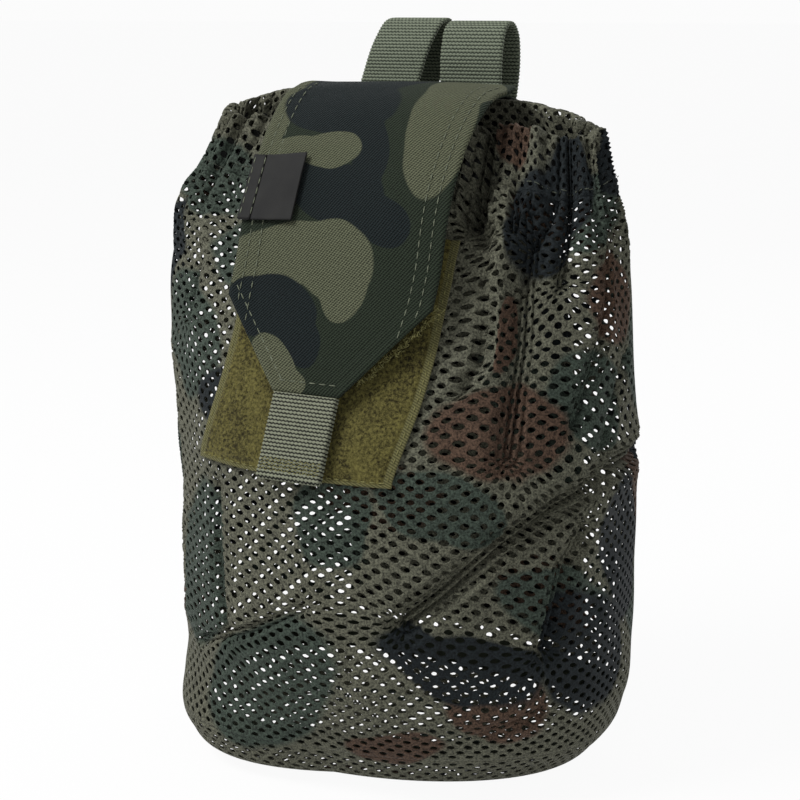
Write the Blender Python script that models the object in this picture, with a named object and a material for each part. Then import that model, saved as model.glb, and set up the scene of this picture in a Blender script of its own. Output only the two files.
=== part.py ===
"""Mesh stuff pouch with a hook-and-loop flap, a gathered mouth and two webbing belt loops.

The pouch stands on its base at z = 0 with the flap towards -Y. Sizes below are in
millimetres, and MM turns them into Blender's metres.
"""
import math

import bmesh
import bpy
import numpy as np
from mathutils import Vector

MM = 0.001
SEAM_GAP = 0.4

# Wall sections: height at the back, half width, sideways drift, front face, back face, forward tilt
WALL_SECTIONS = np.array((
    (0.0, 60.0, 0.0, -30.0, 46.0, 0.0),
    (3.0, 70.0, 0.0, -39.0, 54.0, 0.0),
    (12.0, 82.0, 0.0, -48.0, 61.0, 0.0),
    (28.0, 87.5, 1.0, -57.0, 67.0, 0.0),
    (50.0, 88.0, 2.0, -62.0, 70.5, 0.0),
    (76.0, 87.5, 3.5, -65.0, 71.0, 0.0),
    (100.0, 87.0, 4.0, -66.0, 68.0, 0.0),
    (126.0, 88.0, 3.0, -63.5, 62.0, 0.0),
    (151.0, 91.0, -1.0, -50.5, 55.0, 0.0),
    (170.0, 92.0, -2.0, -41.0, 48.5, 0.0),
    (190.0, 91.5, -2.5, -30.5, 41.5, 0.02),
    (205.0, 90.0, -2.5, -22.0, 36.5, 0.06),
    (214.0, 87.5, -2.0, -16.5, 33.0, 0.1),
    (226.0, 83.0, -1.5, -7.5, 29.5, 0.2),
    (246.0, 76.0, -1.0, 6.0, 26.5, 0.34),
))
# Squareness of the front and back of a section, below the shoulders and at the mouth
FRONT_SQUARENESS = (2.1, 3.4)
BACK_SQUARENESS = (2.8, 3.4)
SQUARING_HEIGHTS = (190.0, 226.0)
SIDE_SHARE = 0.55
FRONT_CENTRE = -0.5 * math.pi
BACK_CENTRE = 0.5 * math.pi

MESH_THICKNESS = 1.6
BODY_FOOT, BODY_TOP = 18.4, 225.4
# Net: openings round the wall and up it, and the open share of each pitch
NET_OPENINGS = (24, 10)
NET_OPEN_SHARE = 0.56
NET_CLOSED_BACK = 60.0
NET_CLOSED_FRONT = 52.0
NET_CLOSED_HEIGHTS = (120.0, 210.0)
SEAM_COLUMNS = 64
# Base: shares of the way from the middle of its floor to the floor's edge, then heights of its rim
FLOOR_SHARES = (0.0, 0.35, 0.7)
RIM_ROWS = (0, 1.2, 3, 7, 12, 17.6)

TAPE_THICKNESS = 1.0
TAPE_GAP = 1.2
TAPE_HEIGHTS = (11.5, 18.0, 24.5)

HEM_FOOT = 226.0
HEM_TOP = 246.0
HEM_CLOTH = 1.3
HEM_ROOM = 3.0
HEM_GATHERS = 18
HEM_STEPS_PER_GATHER = 6
GATHER_DEPTH = 1.4
FLAT_BACK_HALF_WIDTH = 54.0
GATHER_FADE = 8.0
ELASTIC_THICKNESS = 1.0
ELASTIC_SHARES = (0.1, 0.9)

PANEL_CLOTH = 1.4
BACK_PANEL_GAP = 0.9
BACK_FACE_LIFT = BACK_PANEL_GAP + PANEL_CLOTH
BACK_PANEL_HALF_WIDTH = 52.0
BACK_PANEL_ROWS = (28, 50, 76, 100, 126, 150, 170, 185, 198, 210, 224, 236, 245.4)
BACK_PANEL_TAPER_START = 185.0
YOKE_STEPS = 3
YOKE_RISE = 3.5
YOKE_GAP = 3.4
LOOP_PANEL_HALF_WIDTH = 40.5
LOOP_PANEL_HEIGHTS = (125.0, 205.0)
LOOP_PANEL_CLOTH = 1.6

FLAP_AXIS = (22.0, 248.5)
FLAP_TOP_LINE = (FLAP_AXIS, (16.0, 251.6), (10.5, 251.2), (4.0, 245.0), (-15.3, 218.2))
FLAP_SEAT_HEIGHTS = (182.0, 165.0, 148.0)
FLAP_SEAT_LIFT = 5.6
FLAP_ROOT_HALF_WIDTH = 44.5
FLAP_CORNER_HALF_WIDTH = 40.5
FLAP_TIP_HALF_WIDTH = 13.0
FLAP_CHAMFER_LENGTH = 34.0
FLAP_CLOTH = 1.2
LINING_CLOTH = 1.0
LAYER_GAP = 0.3
LINING_INSET = 1.5
HOOK_THICKNESS = 1.2
HOOK_LENGTH = 42.0
HOOK_INSET = 4.0

TAB_WIDTH = 25.0
TAB_CLOTH = 1.2
TAB_FOLD_RADIUS = 0.8
TAB_DROP = 24.4
TAB_SEAT_LIFT = 5.2
TAB_AXIS_GAP = 1.9

LABEL_RUN = (43.0, 71.0)
LABEL_EDGE = -42.0
LABEL_LIFT = 1.7
LABEL_THICKNESS = 0.9
LABEL_SEWN_WIDTH = 3.5
LABEL_TAIL_WIDTH = 20.0
LABEL_FOLD_GAP = 0.5

WEBBING_WIDTH = 25.0
WEBBING_THICKNESS = 1.6
LOOP_SPACING = 36.0
# Belt loops: backward lean in degrees and sideways slant of the top
LOOP_POSTURES = {"left_belt_loop": (12.0, 8.0), "right_belt_loop": (0.0, 0.0)}
# Belt loop centre line: distance behind and above the seam it is sewn in by
LOOP_LINE = (
    (-1.1, 0.5), (-2.0, 14.0), (-2.2, 27.0), (-0.6, 39.0), (3.4, 46.6), (8.5, 49.0),
    (13.4, 45.6), (15.4, 36.0), (13.6, 24.0), (8.0, 11.0), (1.1, 0.5),
)
LOOP_STEPS = 28
BAND_HEIGHTS = (208.0, 223.0)
BAND_HALF_WIDTH = 36.0
LOOP_SEAM_HEIGHT = 225.8
LOOP_SEAM_ROOM = 2.3


def curve_through(keys, values, at):
    """Value at a key, on a smooth curve through the rows of values."""
    slopes = np.gradient(values, keys, axis=0)
    i = int(np.clip(np.searchsorted(keys, at) - 1, 0, len(keys) - 2))
    span = keys[i + 1] - keys[i]
    t = (at - keys[i]) / span
    start = values[i] * (2 * t**3 - 3 * t**2 + 1) + slopes[i] * span * (t**3 - 2 * t**2 + t)
    end = values[i + 1] * (3 * t**2 - 2 * t**3) + slopes[i + 1] * span * (t**3 - t**2)
    return start + end


def chord_lengths(points):
    steps = np.linalg.norm(np.diff(points, axis=0), axis=1)
    return np.concatenate(([0.0], np.cumsum(steps)))


def wall_section(height):
    """Half width, drift, front face, back face and tilt of the wall."""
    return curve_through(WALL_SECTIONS[:, 0], WALL_SECTIONS[:, 1:], height)


def squareness(height, turn):
    """Exponent of the rounded outline, on the front or the back half of a section."""
    ends = BACK_SQUARENESS if math.sin(turn) > 0 else FRONT_SQUARENESS
    return np.interp(height, SQUARING_HEIGHTS, ends)


def wall_point(height, turn):
    """Point on the outside of the wall, turned anticlockwise from +X."""
    half, drift, front, back, tilt = wall_section(height)
    side = front + SIDE_SHARE * (back - front)
    c, s = math.cos(turn), math.sin(turn)
    reach = back - side if s > 0 else side - front
    power = squareness(height, turn)
    x = drift + half * math.copysign(abs(c) ** (2 / power), c)
    y = side + reach * math.copysign(abs(s) ** (2 / power), s)
    return Vector((x, y, height + tilt * (y - back)))


def lifted(height, turn, lift):
    """Point at a distance outside the wall, along the wall's own normal."""
    rise, sweep = 0.4, 0.01
    up = wall_point(height + rise, turn) - wall_point(height - rise, turn)
    across = wall_point(height, turn + sweep) - wall_point(height, turn - sweep)
    return wall_point(height, turn) + lift * across.cross(up).normalized()


def even_turns(height, count):
    """Turns that space points evenly round the wall."""
    fine = np.linspace(0.0, 2 * math.pi, 721)
    run = chord_lengths([wall_point(height, turn) for turn in fine])
    return np.interp(np.arange(count) / count * run[-1], run, fine)


def turn_at(height, x, centre):
    """Turn at which the front or the back of the wall has this x."""
    power = squareness(height, centre)
    half, drift = wall_section(height)[:2]
    share = (abs(x - drift) / half) ** (power / 2)
    return math.copysign(math.acos(math.copysign(share, x - drift)), centre)


def material(name, colour, roughness):
    made = bpy.data.materials.new(name)
    made.use_nodes = True
    shader = made.node_tree.nodes["Principled BSDF"]
    shader.inputs["Base Color"].default_value = (*colour, 1.0)
    shader.inputs["Roughness"].default_value = roughness
    shader.inputs["Metallic"].default_value = 0.0
    return made


def sheet(
    name, columns, rows, place, thickness, offset, finish,
    origin=(0.0, 0.0, 0.0), is_open=lambda column, row: False,
):
    """Cloth laid over a grid: place(column, row) gives each point, is_open the cells left out."""
    bm = bmesh.new()
    bmesh.ops.create_grid(bm, x_segments=columns, y_segments=rows, size=0.5)
    middles = [(face, face.calc_center_median()) for face in bm.faces]
    cut = [
        face for face, middle in middles
        if is_open(int((middle.x + 0.5) * columns), int((middle.y + 0.5) * rows))
    ]
    bmesh.ops.delete(bm, geom=cut, context="FACES")
    for vert in bm.verts:
        column = round((vert.co.x + 0.5) * columns)
        row = round((vert.co.y + 0.5) * rows)
        vert.co = (place(column, row) - Vector(origin)) * MM
    bmesh.ops.remove_doubles(bm, verts=bm.verts, dist=0.01 * MM)
    mesh = bpy.data.meshes.new(name)
    bm.to_mesh(mesh)
    bm.free()
    mesh.shade_smooth()
    mesh.set_sharp_from_angle(angle=math.radians(50))
    mesh.materials.append(finish)
    made = bpy.data.objects.new(name, mesh)
    made.location = Vector(origin) * MM
    bpy.context.collection.objects.link(made)
    solidify = made.modifiers.new("cloth thickness", "SOLIDIFY")
    solidify.thickness = thickness * MM
    solidify.offset = offset
    return made


def mesh_body():
    """Wall of printed net, from the base's seam up to the mouth casing, closed behind the panels."""
    round_count, high_count = NET_OPENINGS
    bar = 1 - NET_OPEN_SHARE
    fine_turns = even_turns(80.0, 100 * round_count)
    turns = [fine_turns[100 * (i // 2) + round(100 * bar) * (i % 2)] for i in range(2 * round_count)]
    pitch = (BODY_TOP - BODY_FOOT) / (high_count + bar)
    heights = [BODY_FOOT + pitch * (i // 2 + bar * (i % 2)) for i in range(2 * high_count + 2)]

    def place(column, row):
        return wall_point(heights[row], turns[column % len(turns)])

    def is_open(column, row):
        if column % 2 == 0 or row % 2 == 0:
            return False
        side = abs(0.5 * (place(column, row) + place(column + 1, row + 1)).x)
        if math.sin(turns[column]) > 0:
            return side > NET_CLOSED_BACK
        low, high = NET_CLOSED_HEIGHTS
        return side > NET_CLOSED_FRONT or heights[row + 1] < low or heights[row] > high

    sheet(
        "mesh_body", len(turns), len(heights) - 1, place,
        MESH_THICKNESS, -1.0, material("printed net", (0.045, 0.052, 0.038), 0.85), is_open=is_open,
    )


def mesh_base():
    """Dish of the same net that closes the bottom: a flat floor that curves up to the wall's seam."""
    turns = even_turns(80.0, SEAM_COLUMNS)
    half, drift, front, back, tilt = wall_section(0.0)
    middle = Vector((drift, 0.5 * (front + back), 0.0))

    def place(column, row):
        turn = turns[column % SEAM_COLUMNS]
        if row < len(FLOOR_SHARES):
            return middle.lerp(wall_point(0.0, turn), FLOOR_SHARES[row])
        return wall_point(RIM_ROWS[row - len(FLOOR_SHARES)], turn)

    sheet(
        "mesh_base", SEAM_COLUMNS, len(FLOOR_SHARES) + len(RIM_ROWS) - 1, place,
        MESH_THICKNESS, -1.0, material("printed base net", (0.05, 0.055, 0.045), 0.85),
    )


def base_seam_tape():
    """Binding tape inside the bag that covers the seam between the wall and the base."""
    turns = even_turns(80.0, SEAM_COLUMNS)
    lift = -(MESH_THICKNESS + TAPE_GAP)
    sheet(
        "base_seam_tape", SEAM_COLUMNS, len(TAPE_HEIGHTS) - 1,
        lambda column, row: lifted(TAPE_HEIGHTS[row], turns[column % SEAM_COLUMNS], lift),
        TAPE_THICKNESS, -1.0, material("binding tape", (0.06, 0.07, 0.04), 0.8),
    )


def gather(height, turn, count_share):
    """Outward push of the mouth's gathers, which stop on the flat back."""
    point = wall_point(height, turn)
    free = 1.0
    if math.sin(turn) > 0:
        free = min(max((abs(point.x) - FLAT_BACK_HALF_WIDTH) / GATHER_FADE, 0.0), 1.0)
    wave = 0.5 - 0.5 * math.cos(2 * math.pi * HEM_GATHERS * count_share)
    return GATHER_DEPTH * free * wave


def mouth_hem_and_elastic():
    """Folded casing round the mouth, gathered by the elastic band that runs inside it."""
    columns = HEM_GATHERS * HEM_STEPS_PER_GATHER
    turns = even_turns(HEM_FOOT, columns)
    outer = -0.5 * HEM_CLOTH
    inner = outer - HEM_CLOTH - HEM_ROOM
    middle = 0.5 * (outer + inner)
    half = 0.5 * (outer - inner)
    bend = [
        (HEM_TOP - half + half * math.sin(angle), middle + half * math.cos(angle))
        for angle in np.linspace(0.0, math.pi, 5)
    ]
    profile = [(HEM_FOOT, outer), *bend, (HEM_FOOT, inner)]

    def casing(column, row):
        share = (column % columns) / columns
        turn = turns[column % columns]
        height, lift = profile[len(profile) - 1 - row]
        return lifted(height, turn, lift + gather(HEM_FOOT, turn, share))

    def band(column, row):
        share = (column % columns) / columns
        turn = turns[column % columns]
        lift = middle + gather(HEM_FOOT, turn, share)
        foot = lifted(HEM_FOOT, turn, lift)
        return foot.lerp(lifted(HEM_TOP - half, turn, lift), ELASTIC_SHARES[row])

    cloth = material("hem net", (0.05, 0.056, 0.042), 0.85)
    sheet("mouth_hem", columns, len(profile) - 1, casing, HEM_CLOTH, 0.0, cloth)
    rubber = material("elastic", (0.02, 0.02, 0.02), 0.7)
    sheet("mouth_elastic", columns, len(ELASTIC_SHARES) - 1, band, ELASTIC_THICKNESS, 0.0, rubber)


def back_panel():
    """Plain cloth back, which narrows and turns forward at the top to carry the flap."""
    rows = len(BACK_PANEL_ROWS) + YOKE_STEPS
    columns = 8
    end_y = FLAP_AXIS[0] + YOKE_GAP

    def place(column, row):
        across = 1.0 - 2.0 * column / columns
        height = BACK_PANEL_ROWS[min(row, len(BACK_PANEL_ROWS) - 1)]
        taper = max(height - BACK_PANEL_TAPER_START, 0.0) / (HEM_TOP - BACK_PANEL_TAPER_START)
        x = across * (BACK_PANEL_HALF_WIDTH + taper * (FLAP_ROOT_HALF_WIDTH - BACK_PANEL_HALF_WIDTH))
        foot = lifted(height, turn_at(height, x, BACK_CENTRE), BACK_PANEL_GAP)
        share = max(row - len(BACK_PANEL_ROWS) + 1, 0) / (YOKE_STEPS + 1)
        shoulder = foot + Vector((0.0, 0.0, YOKE_RISE))
        end = Vector((x, end_y, FLAP_AXIS[1] - 0.5 * PANEL_CLOTH))
        return foot.lerp(shoulder, share).lerp(shoulder.lerp(end, share), share)

    sheet(
        "back_panel", columns, rows, place, PANEL_CLOTH, 1.0,
        material("back cloth", (0.055, 0.062, 0.042), 0.8),
    )


def loop_panel():
    """Soft loop half of the closure, sewn flat to the front of the net."""
    columns, rows = 8, 10
    low, high = LOOP_PANEL_HEIGHTS

    def place(column, row):
        height = low + (high - low) * row / rows
        x = LOOP_PANEL_HALF_WIDTH * (2.0 * column / columns - 1.0)
        return lifted(height, turn_at(height, x, FRONT_CENTRE), SEAM_GAP)

    pile = material("loop pile", (0.11, 0.095, 0.035), 0.95)
    sheet("loop_panel", columns, rows, place, LOOP_PANEL_CLOTH, 1.0, pile)


def flap_line():
    """Side view of the closed flap, from its axis over the mouth and down the front."""
    seats = [lifted(height, FRONT_CENTRE, FLAP_SEAT_LIFT) for height in FLAP_SEAT_HEIGHTS]
    points = np.array([*FLAP_TOP_LINE, *((seat.y, seat.z) for seat in seats)])
    return chord_lengths(points), points


def flap_point(run, x, lift):
    """Point on the flap at a run from its axis, lifted off its middle layer."""
    keys, points = flap_line()
    y, z = curve_through(keys, points, run)
    forward = curve_through(keys, points, run + 0.3) - curve_through(keys, points, run - 0.3)
    forward /= np.linalg.norm(forward)
    return Vector((x, y + lift * forward[1], z - lift * forward[0]))


def flap_half_width(run, length):
    """Half width of the flap: a slight taper, then two straight cuts down to the tip."""
    corner = length - FLAP_CHAMFER_LENGTH
    widths = (FLAP_ROOT_HALF_WIDTH, FLAP_CORNER_HALF_WIDTH, FLAP_TIP_HALF_WIDTH)
    return np.interp(run, (0.0, corner, length), widths)


def flap_layer(name, start, inset, lift, thickness, finish, long_rows=14, cut_rows=4):
    """One layer of the flap, with a row of points on the corner where the cuts begin."""
    length = flap_line()[0][-1]
    corner = length - FLAP_CHAMFER_LENGTH
    runs = [*np.linspace(start, corner, long_rows), *np.linspace(corner, length - inset, cut_rows)[1:]]
    columns = 6

    def place(column, row):
        run = runs[row]
        half = flap_half_width(run, length) - inset
        return flap_point(run, half * (1.0 - 2.0 * column / columns), lift)

    axis = (0.0, *FLAP_AXIS)
    return sheet(name, columns, len(runs) - 1, place, thickness, 1.0, finish, axis)


def flap():
    """Cloth flap with its lining and the hook patch that grips the loop panel."""
    length = flap_line()[0][-1]
    lining_lift = -0.5 * LAYER_GAP - LINING_CLOTH
    hook_lift = lining_lift - LAYER_GAP - HOOK_THICKNESS
    cloth = material("flap cloth", (0.07, 0.075, 0.05), 0.8)
    lining = material("flap lining", (0.05, 0.06, 0.04), 0.8)
    hook = material("hook tape", (0.08, 0.085, 0.045), 0.75)
    flap_layer("flap_outer", 0.0, 0.0, 0.5 * LAYER_GAP, FLAP_CLOTH, cloth)
    flap_layer("flap_lining", 0.0, LINING_INSET, lining_lift, LINING_CLOTH, lining)
    flap_layer("flap_hook_patch", length - HOOK_LENGTH, HOOK_INSET, hook_lift, HOOK_THICKNESS, hook, 3, 5)


def label():
    """Folded woven label: its sewn end stays on the flap, and its tail lifts about the stitching."""
    top, foot = (flap_point(run, 0.0, LABEL_LIFT) for run in LABEL_RUN)
    out = (foot - top).normalized().cross(Vector((1.0, 0.0, 0.0)))
    steps = 4
    seam = LABEL_EDGE + LABEL_SEWN_WIDTH
    ends = {
        "label_sewn_end": (LABEL_EDGE, seam - LABEL_FOLD_GAP),
        "side_label": (seam, seam + LABEL_TAIL_WIDTH),
    }
    weave = material("label weave", (0.02, 0.02, 0.021), 0.6)
    for name, (start, end) in ends.items():
        def place(column, row):
            across = Vector((end + (start - end) * column / steps, 0.0, 0.0))
            return top.lerp(foot, row / steps) + across

        hinge = Vector((start - 0.5 * LABEL_FOLD_GAP, 0.0, 0.0))
        origin = top.lerp(foot, 0.5) + LABEL_THICKNESS * out + hinge
        sheet(name, steps, steps, place, LABEL_THICKNESS, 1.0, weave, origin)


def strap(name, line, width, thickness, finish, origin):
    """Webbing of one width whose middle follows a line of points."""
    columns = 2

    def place(column, row):
        return Vector(line[row]) + Vector((width * (column / columns - 0.5), 0.0, 0.0))

    return sheet(name, columns, len(line) - 1, place, thickness, 0.0, finish, origin)


def pull_tab():
    """Folded webbing tab that hangs from the flap's tip in front of the loop panel."""
    keys, points = flap_line()
    tip = points[-1]
    down = tip - curve_through(keys, points, keys[-1] - 1.0)
    down /= np.linalg.norm(down)
    top = tip + TAB_AXIS_GAP * down
    foot = lifted(top[1] - TAB_DROP, FRONT_CENTRE, TAB_SEAT_LIFT)
    foot = np.array((foot.y, foot.z))
    along = (foot - top) / np.linalg.norm(foot - top)
    out = np.array((along[1], -along[0]))
    front = [top + (foot - top) * share + out * TAB_FOLD_RADIUS for share in np.linspace(0.0, 1.0, 6)]
    fold = [
        foot + TAB_FOLD_RADIUS * (out * math.cos(angle) + along * math.sin(angle))
        for angle in np.linspace(0.0, math.pi, 6)[1:-1]
    ]
    rear = [point - 2 * TAB_FOLD_RADIUS * out for point in reversed(front)]
    webbing = material("tab webbing", (0.085, 0.09, 0.065), 0.8)
    line = [(0.0, *point) for point in (*front, *fold, *rear)]
    strap("pull_tab", line, TAB_WIDTH, TAB_CLOTH, webbing, (0.0, *top))


def loop_anchor_band():
    """Strip across the top of the back that the ends of both belt loops are sewn under."""
    columns, rows = 6, 2
    lift = BACK_FACE_LIFT + LAYER_GAP
    low, high = BAND_HEIGHTS

    def place(column, row):
        height = low + (high - low) * row / rows
        x = BAND_HALF_WIDTH * (1.0 - 2.0 * column / columns)
        return lifted(height, turn_at(height, x, BACK_CENTRE), lift)

    cloth = material("band cloth", (0.05, 0.056, 0.04), 0.8)
    sheet("loop_anchor_band", columns, rows, place, PANEL_CLOTH, 1.0, cloth)


def belt_loops():
    """Two loops of webbing for a belt, each leaning back from the seam that holds its ends."""
    seam = lifted(LOOP_SEAM_HEIGHT, BACK_CENTRE, BACK_FACE_LIFT + LOOP_SEAM_ROOM)
    keys = chord_lengths(np.array(LOOP_LINE))
    runs = np.linspace(0.0, keys[-1], LOOP_STEPS)
    shape = [curve_through(keys, np.array(LOOP_LINE), run) for run in runs]
    tallest = max(above for behind, above in shape)
    webbing = material("belt loop webbing", (0.1, 0.11, 0.08), 0.8)
    for side, (name, (lean, slant)) in zip((-1.0, 1.0), LOOP_POSTURES.items()):
        c, s = math.cos(math.radians(lean)), math.sin(math.radians(lean))
        x = side * 0.5 * LOOP_SPACING
        line = [
            (x + slant * above / tallest, seam.y + behind * c + above * s, seam.z + above * c - behind * s)
            for behind, above in shape
        ]
        strap(name, line, WEBBING_WIDTH, WEBBING_THICKNESS, webbing, (x, seam.y, seam.z))


for old in list(bpy.data.objects):
    bpy.data.objects.remove(old, do_unlink=True)

mesh_body()
mesh_base()
base_seam_tape()
mouth_hem_and_elastic()
back_panel()
loop_panel()
flap()
label()
pull_tab()
loop_anchor_band()
belt_loops()
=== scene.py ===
import math

import bmesh
import bpy
import numpy as np
from mathutils import Matrix, Vector


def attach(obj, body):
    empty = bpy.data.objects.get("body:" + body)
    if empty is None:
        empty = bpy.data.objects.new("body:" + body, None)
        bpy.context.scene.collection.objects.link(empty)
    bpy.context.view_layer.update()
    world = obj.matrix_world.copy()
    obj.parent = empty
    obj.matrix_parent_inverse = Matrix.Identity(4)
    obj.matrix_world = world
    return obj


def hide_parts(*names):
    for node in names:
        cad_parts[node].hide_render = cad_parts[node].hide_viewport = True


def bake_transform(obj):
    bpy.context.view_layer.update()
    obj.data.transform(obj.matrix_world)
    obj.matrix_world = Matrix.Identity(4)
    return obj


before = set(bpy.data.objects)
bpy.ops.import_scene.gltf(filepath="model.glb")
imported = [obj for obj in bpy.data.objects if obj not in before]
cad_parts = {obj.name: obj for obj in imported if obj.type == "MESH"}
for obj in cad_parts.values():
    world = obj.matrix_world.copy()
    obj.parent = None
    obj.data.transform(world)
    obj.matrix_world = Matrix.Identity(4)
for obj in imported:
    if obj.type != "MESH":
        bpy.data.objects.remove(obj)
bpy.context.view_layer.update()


# Net wall
# One length of printed tricot net with rows of oval holes, wrapped round the bag from the base's
# seam to the mouth. The elastic above draws it into gathers, and a soft load gives it its folds.
MM = 0.001
FRONT, BACK = 1.5 * math.pi, 0.5 * math.pi
BASE_SEAM, HEM_FOOT = 18.0, 226.0

# Height at the back, half width, sideways drift, front face, back face, forward tilt, in millimetres
WALL_SECTIONS = np.array((
    (0.0, 60.0, 0.0, -30.0, 46.0, 0.0),
    (3.0, 70.0, 0.0, -39.0, 54.0, 0.0),
    (12.0, 82.0, 0.0, -48.0, 61.0, 0.0),
    (28.0, 87.5, 1.0, -57.0, 67.0, 0.0),
    (50.0, 88.0, 2.0, -62.0, 70.5, 0.0),
    (76.0, 87.5, 3.5, -65.0, 71.0, 0.0),
    (100.0, 87.0, 4.0, -66.0, 68.0, 0.0),
    (126.0, 88.0, 3.0, -63.5, 62.0, 0.0),
    (151.0, 91.0, -1.0, -50.5, 55.0, 0.0),
    (170.0, 92.0, -2.0, -41.0, 48.5, 0.0),
    (190.0, 91.5, -2.5, -30.5, 41.5, 0.02),
    (205.0, 90.0, -2.5, -22.0, 36.5, 0.06),
    (214.0, 87.5, -2.0, -16.5, 33.0, 0.1),
    (226.0, 83.0, -1.5, -7.5, 29.5, 0.2),
    (246.0, 76.0, -1.0, 6.0, 26.5, 0.34),
))


def smooth_through(keys, values, at):
    """Values at the given keys, on a smooth curve through the rows of values."""
    keys, values, at = (np.asarray(each, float) for each in (keys, values, at))
    slopes = np.gradient(values, keys, axis=0)
    i = np.clip(np.searchsorted(keys, at) - 1, 0, len(keys) - 2)
    span = keys[i + 1] - keys[i]
    t = (at - keys[i]) / span
    if values.ndim > 1:
        t, span = t[..., None], span[..., None]
    start = values[i] * (2 * t**3 - 3 * t**2 + 1) + slopes[i] * span * (t**3 - 2 * t**2 + t)
    return start + values[i + 1] * (3 * t**2 - 2 * t**3) + slopes[i + 1] * span * (t**3 - t**2)


def eased(value, low, high):
    t = np.clip((np.asarray(value, float) - low) / (high - low), 0.0, 1.0)
    return t * t * (3 - 2 * t)


def squareness(height, back):
    """How square the bag's outline is: a soft oval below, and a flat loop at the mouth."""
    return np.interp(height, (190, 226), (2.8, 3.4) if back else (2.1, 3.4))


def wall_point(height, turn):
    """Points on the outside of the bag, turned anticlockwise from +X; its front foot swings left."""
    height, turn = np.broadcast_arrays(np.asarray(height, float), np.asarray(turn, float))
    half, drift, front, back, tilt = np.moveaxis(
        smooth_through(WALL_SECTIONS[:, 0], WALL_SECTIONS[:, 1:], height), -1, 0)
    side = front + 0.55 * (back - front)
    c, s = np.cos(turn), np.sin(turn)
    reach = np.where(s > 0, back - side, side - front)
    square = np.where(s > 0, squareness(height, True), squareness(height, False))
    x = drift + half * np.sign(c) * np.abs(c) ** (2 / square)
    y = side + reach * np.sign(s) * np.abs(s) ** (2 / square)
    y = y + np.where(x < 0, 0.42, 0.12) * x * np.maximum(-s, 0.0) * (1 - eased(height, 2, 42))
    return np.stack((x, y, height + tilt * (y - back)), axis=-1)


def wall_lifted(height, turn, lift):
    """Points at a distance outside the bag, along its own normal."""
    up = wall_point(height + 0.4, turn) - wall_point(height - 0.4, turn)
    across = wall_point(height, turn + 0.01) - wall_point(height, turn - 0.01)
    out = np.cross(across, up)
    out /= np.linalg.norm(out, axis=-1, keepdims=True)
    return wall_point(height, turn) + np.asarray(lift, float)[..., None] * out


def chord_lengths(points):
    steps = np.linalg.norm(np.diff(points, axis=0), axis=-1)
    return np.concatenate(([0.0], np.cumsum(steps)))


# Round the bag, a share of the cloth runs from the middle of the back by the left side
round_turns = np.linspace(BACK, BACK + 2 * math.pi, 1441)
round_shares = chord_lengths(wall_point(80.0, round_turns))
round_shares /= round_shares[-1]
rise = np.linspace(BASE_SEAM, HEM_FOOT + 0.2, 300)
girth = np.array([chord_lengths(wall_point(height, round_turns))[-1] for height in rise])
rise_run = np.concatenate(([0.0], np.cumsum(np.hypot(np.diff(rise), np.diff(girth) / (2 * math.pi)))))

NET_PITCH = (6.3, 4.7)
NET_COLUMNS = 80
CLOTH_WIDTH = NET_COLUMNS * NET_PITCH[0]
NET_ROWS = round(rise_run[-1] / NET_PITCH[1])
HOLE_MARGIN = 0.47
HOLE_FLATNESS = 0.86
NET_YARN, NET_INSET = 0.5, 0.8


def open_cells(bm, flatten):
    """Turns a grid of quads into net: staggered diamond cells, each opened by an oval hole."""
    grid = [edge for edge in bm.edges if not edge.is_boundary]
    bmesh.ops.poke(bm, faces=bm.faces[:])
    bmesh.ops.dissolve_edges(bm, edges=grid)
    cells = [face for face in bm.faces if len(face.verts) == 4]
    bmesh.ops.inset_individual(bm, faces=cells, thickness=HOLE_MARGIN, use_even_offset=True)
    for cell in cells:
        middle = cell.calc_center_median()
        for corner in cell.verts:
            corner.co = middle + (corner.co - middle) * Vector(flatten)
    bmesh.ops.delete(bm, geom=cells, context="FACES")


def mesh_of(bm, name):
    """Mesh made from a finished bmesh, which is freed."""
    mesh = bpy.data.meshes.new(name)
    bm.to_mesh(mesh)
    bm.free()
    return mesh


def rounded(bm):
    """Mesh of a net whose holes are rounded by one level of subdivision."""
    form = bpy.data.objects.new("net", mesh_of(bm, "net"))
    bpy.context.collection.objects.link(form)
    rounding = form.modifiers.new("rounding", "SUBSURF")
    rounding.levels = rounding.render_levels = 1
    made = bpy.data.meshes.new_from_object(form.evaluated_get(bpy.context.evaluated_depsgraph_get()))
    bpy.data.objects.remove(form)
    return made


def net_tube(columns, rows):
    """Net sewn into a tube, in millimetres, standing on z = 0."""
    across, up = NET_PITCH
    radius = columns * across / (2 * math.pi)
    bm = bmesh.new()
    bmesh.ops.create_cone(bm, segments=columns, radius1=radius, radius2=radius, depth=rows * up)
    bmesh.ops.translate(bm, verts=bm.verts, vec=(0.0, 0.0, 0.5 * rows * up))
    uprights = [edge for edge in bm.edges if not edge.is_boundary]
    bmesh.ops.subdivide_edges(bm, edges=uprights, cuts=rows - 1)
    open_cells(bm, (1.0, 1.0, HOLE_FLATNESS))
    return rounded(bm)


def points_of(mesh):
    points = np.empty(3 * len(mesh.vertices))
    mesh.vertices.foreach_get("co", points)
    return points.reshape(-1, 3)


def move_to(mesh, points):
    mesh.vertices.foreach_set("co", (points * MM).ravel())
    mesh.update()


def lay_print(mesh, across, along, wrap=0.0):
    """UV map of the cloth's own flat measures in metres, kept whole over the back seam of a tube."""
    corners = np.empty(len(mesh.loops), int)
    mesh.loops.foreach_get("vertex_index", corners)
    u, v = across[corners], along[corners]
    if wrap:
        faces = u.reshape(-1, 4)
        faces[faces < faces.max(axis=1, keepdims=True) - 0.5 * wrap] += wrap
    layer = mesh.uv_layers.new(name="print")
    layer.data.foreach_set("uv", (np.stack((u, v), axis=-1) * MM).ravel())


def tube_shares(points):
    return (np.arctan2(points[:, 1], points[:, 0]) / (2 * math.pi)) % 1.0


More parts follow.
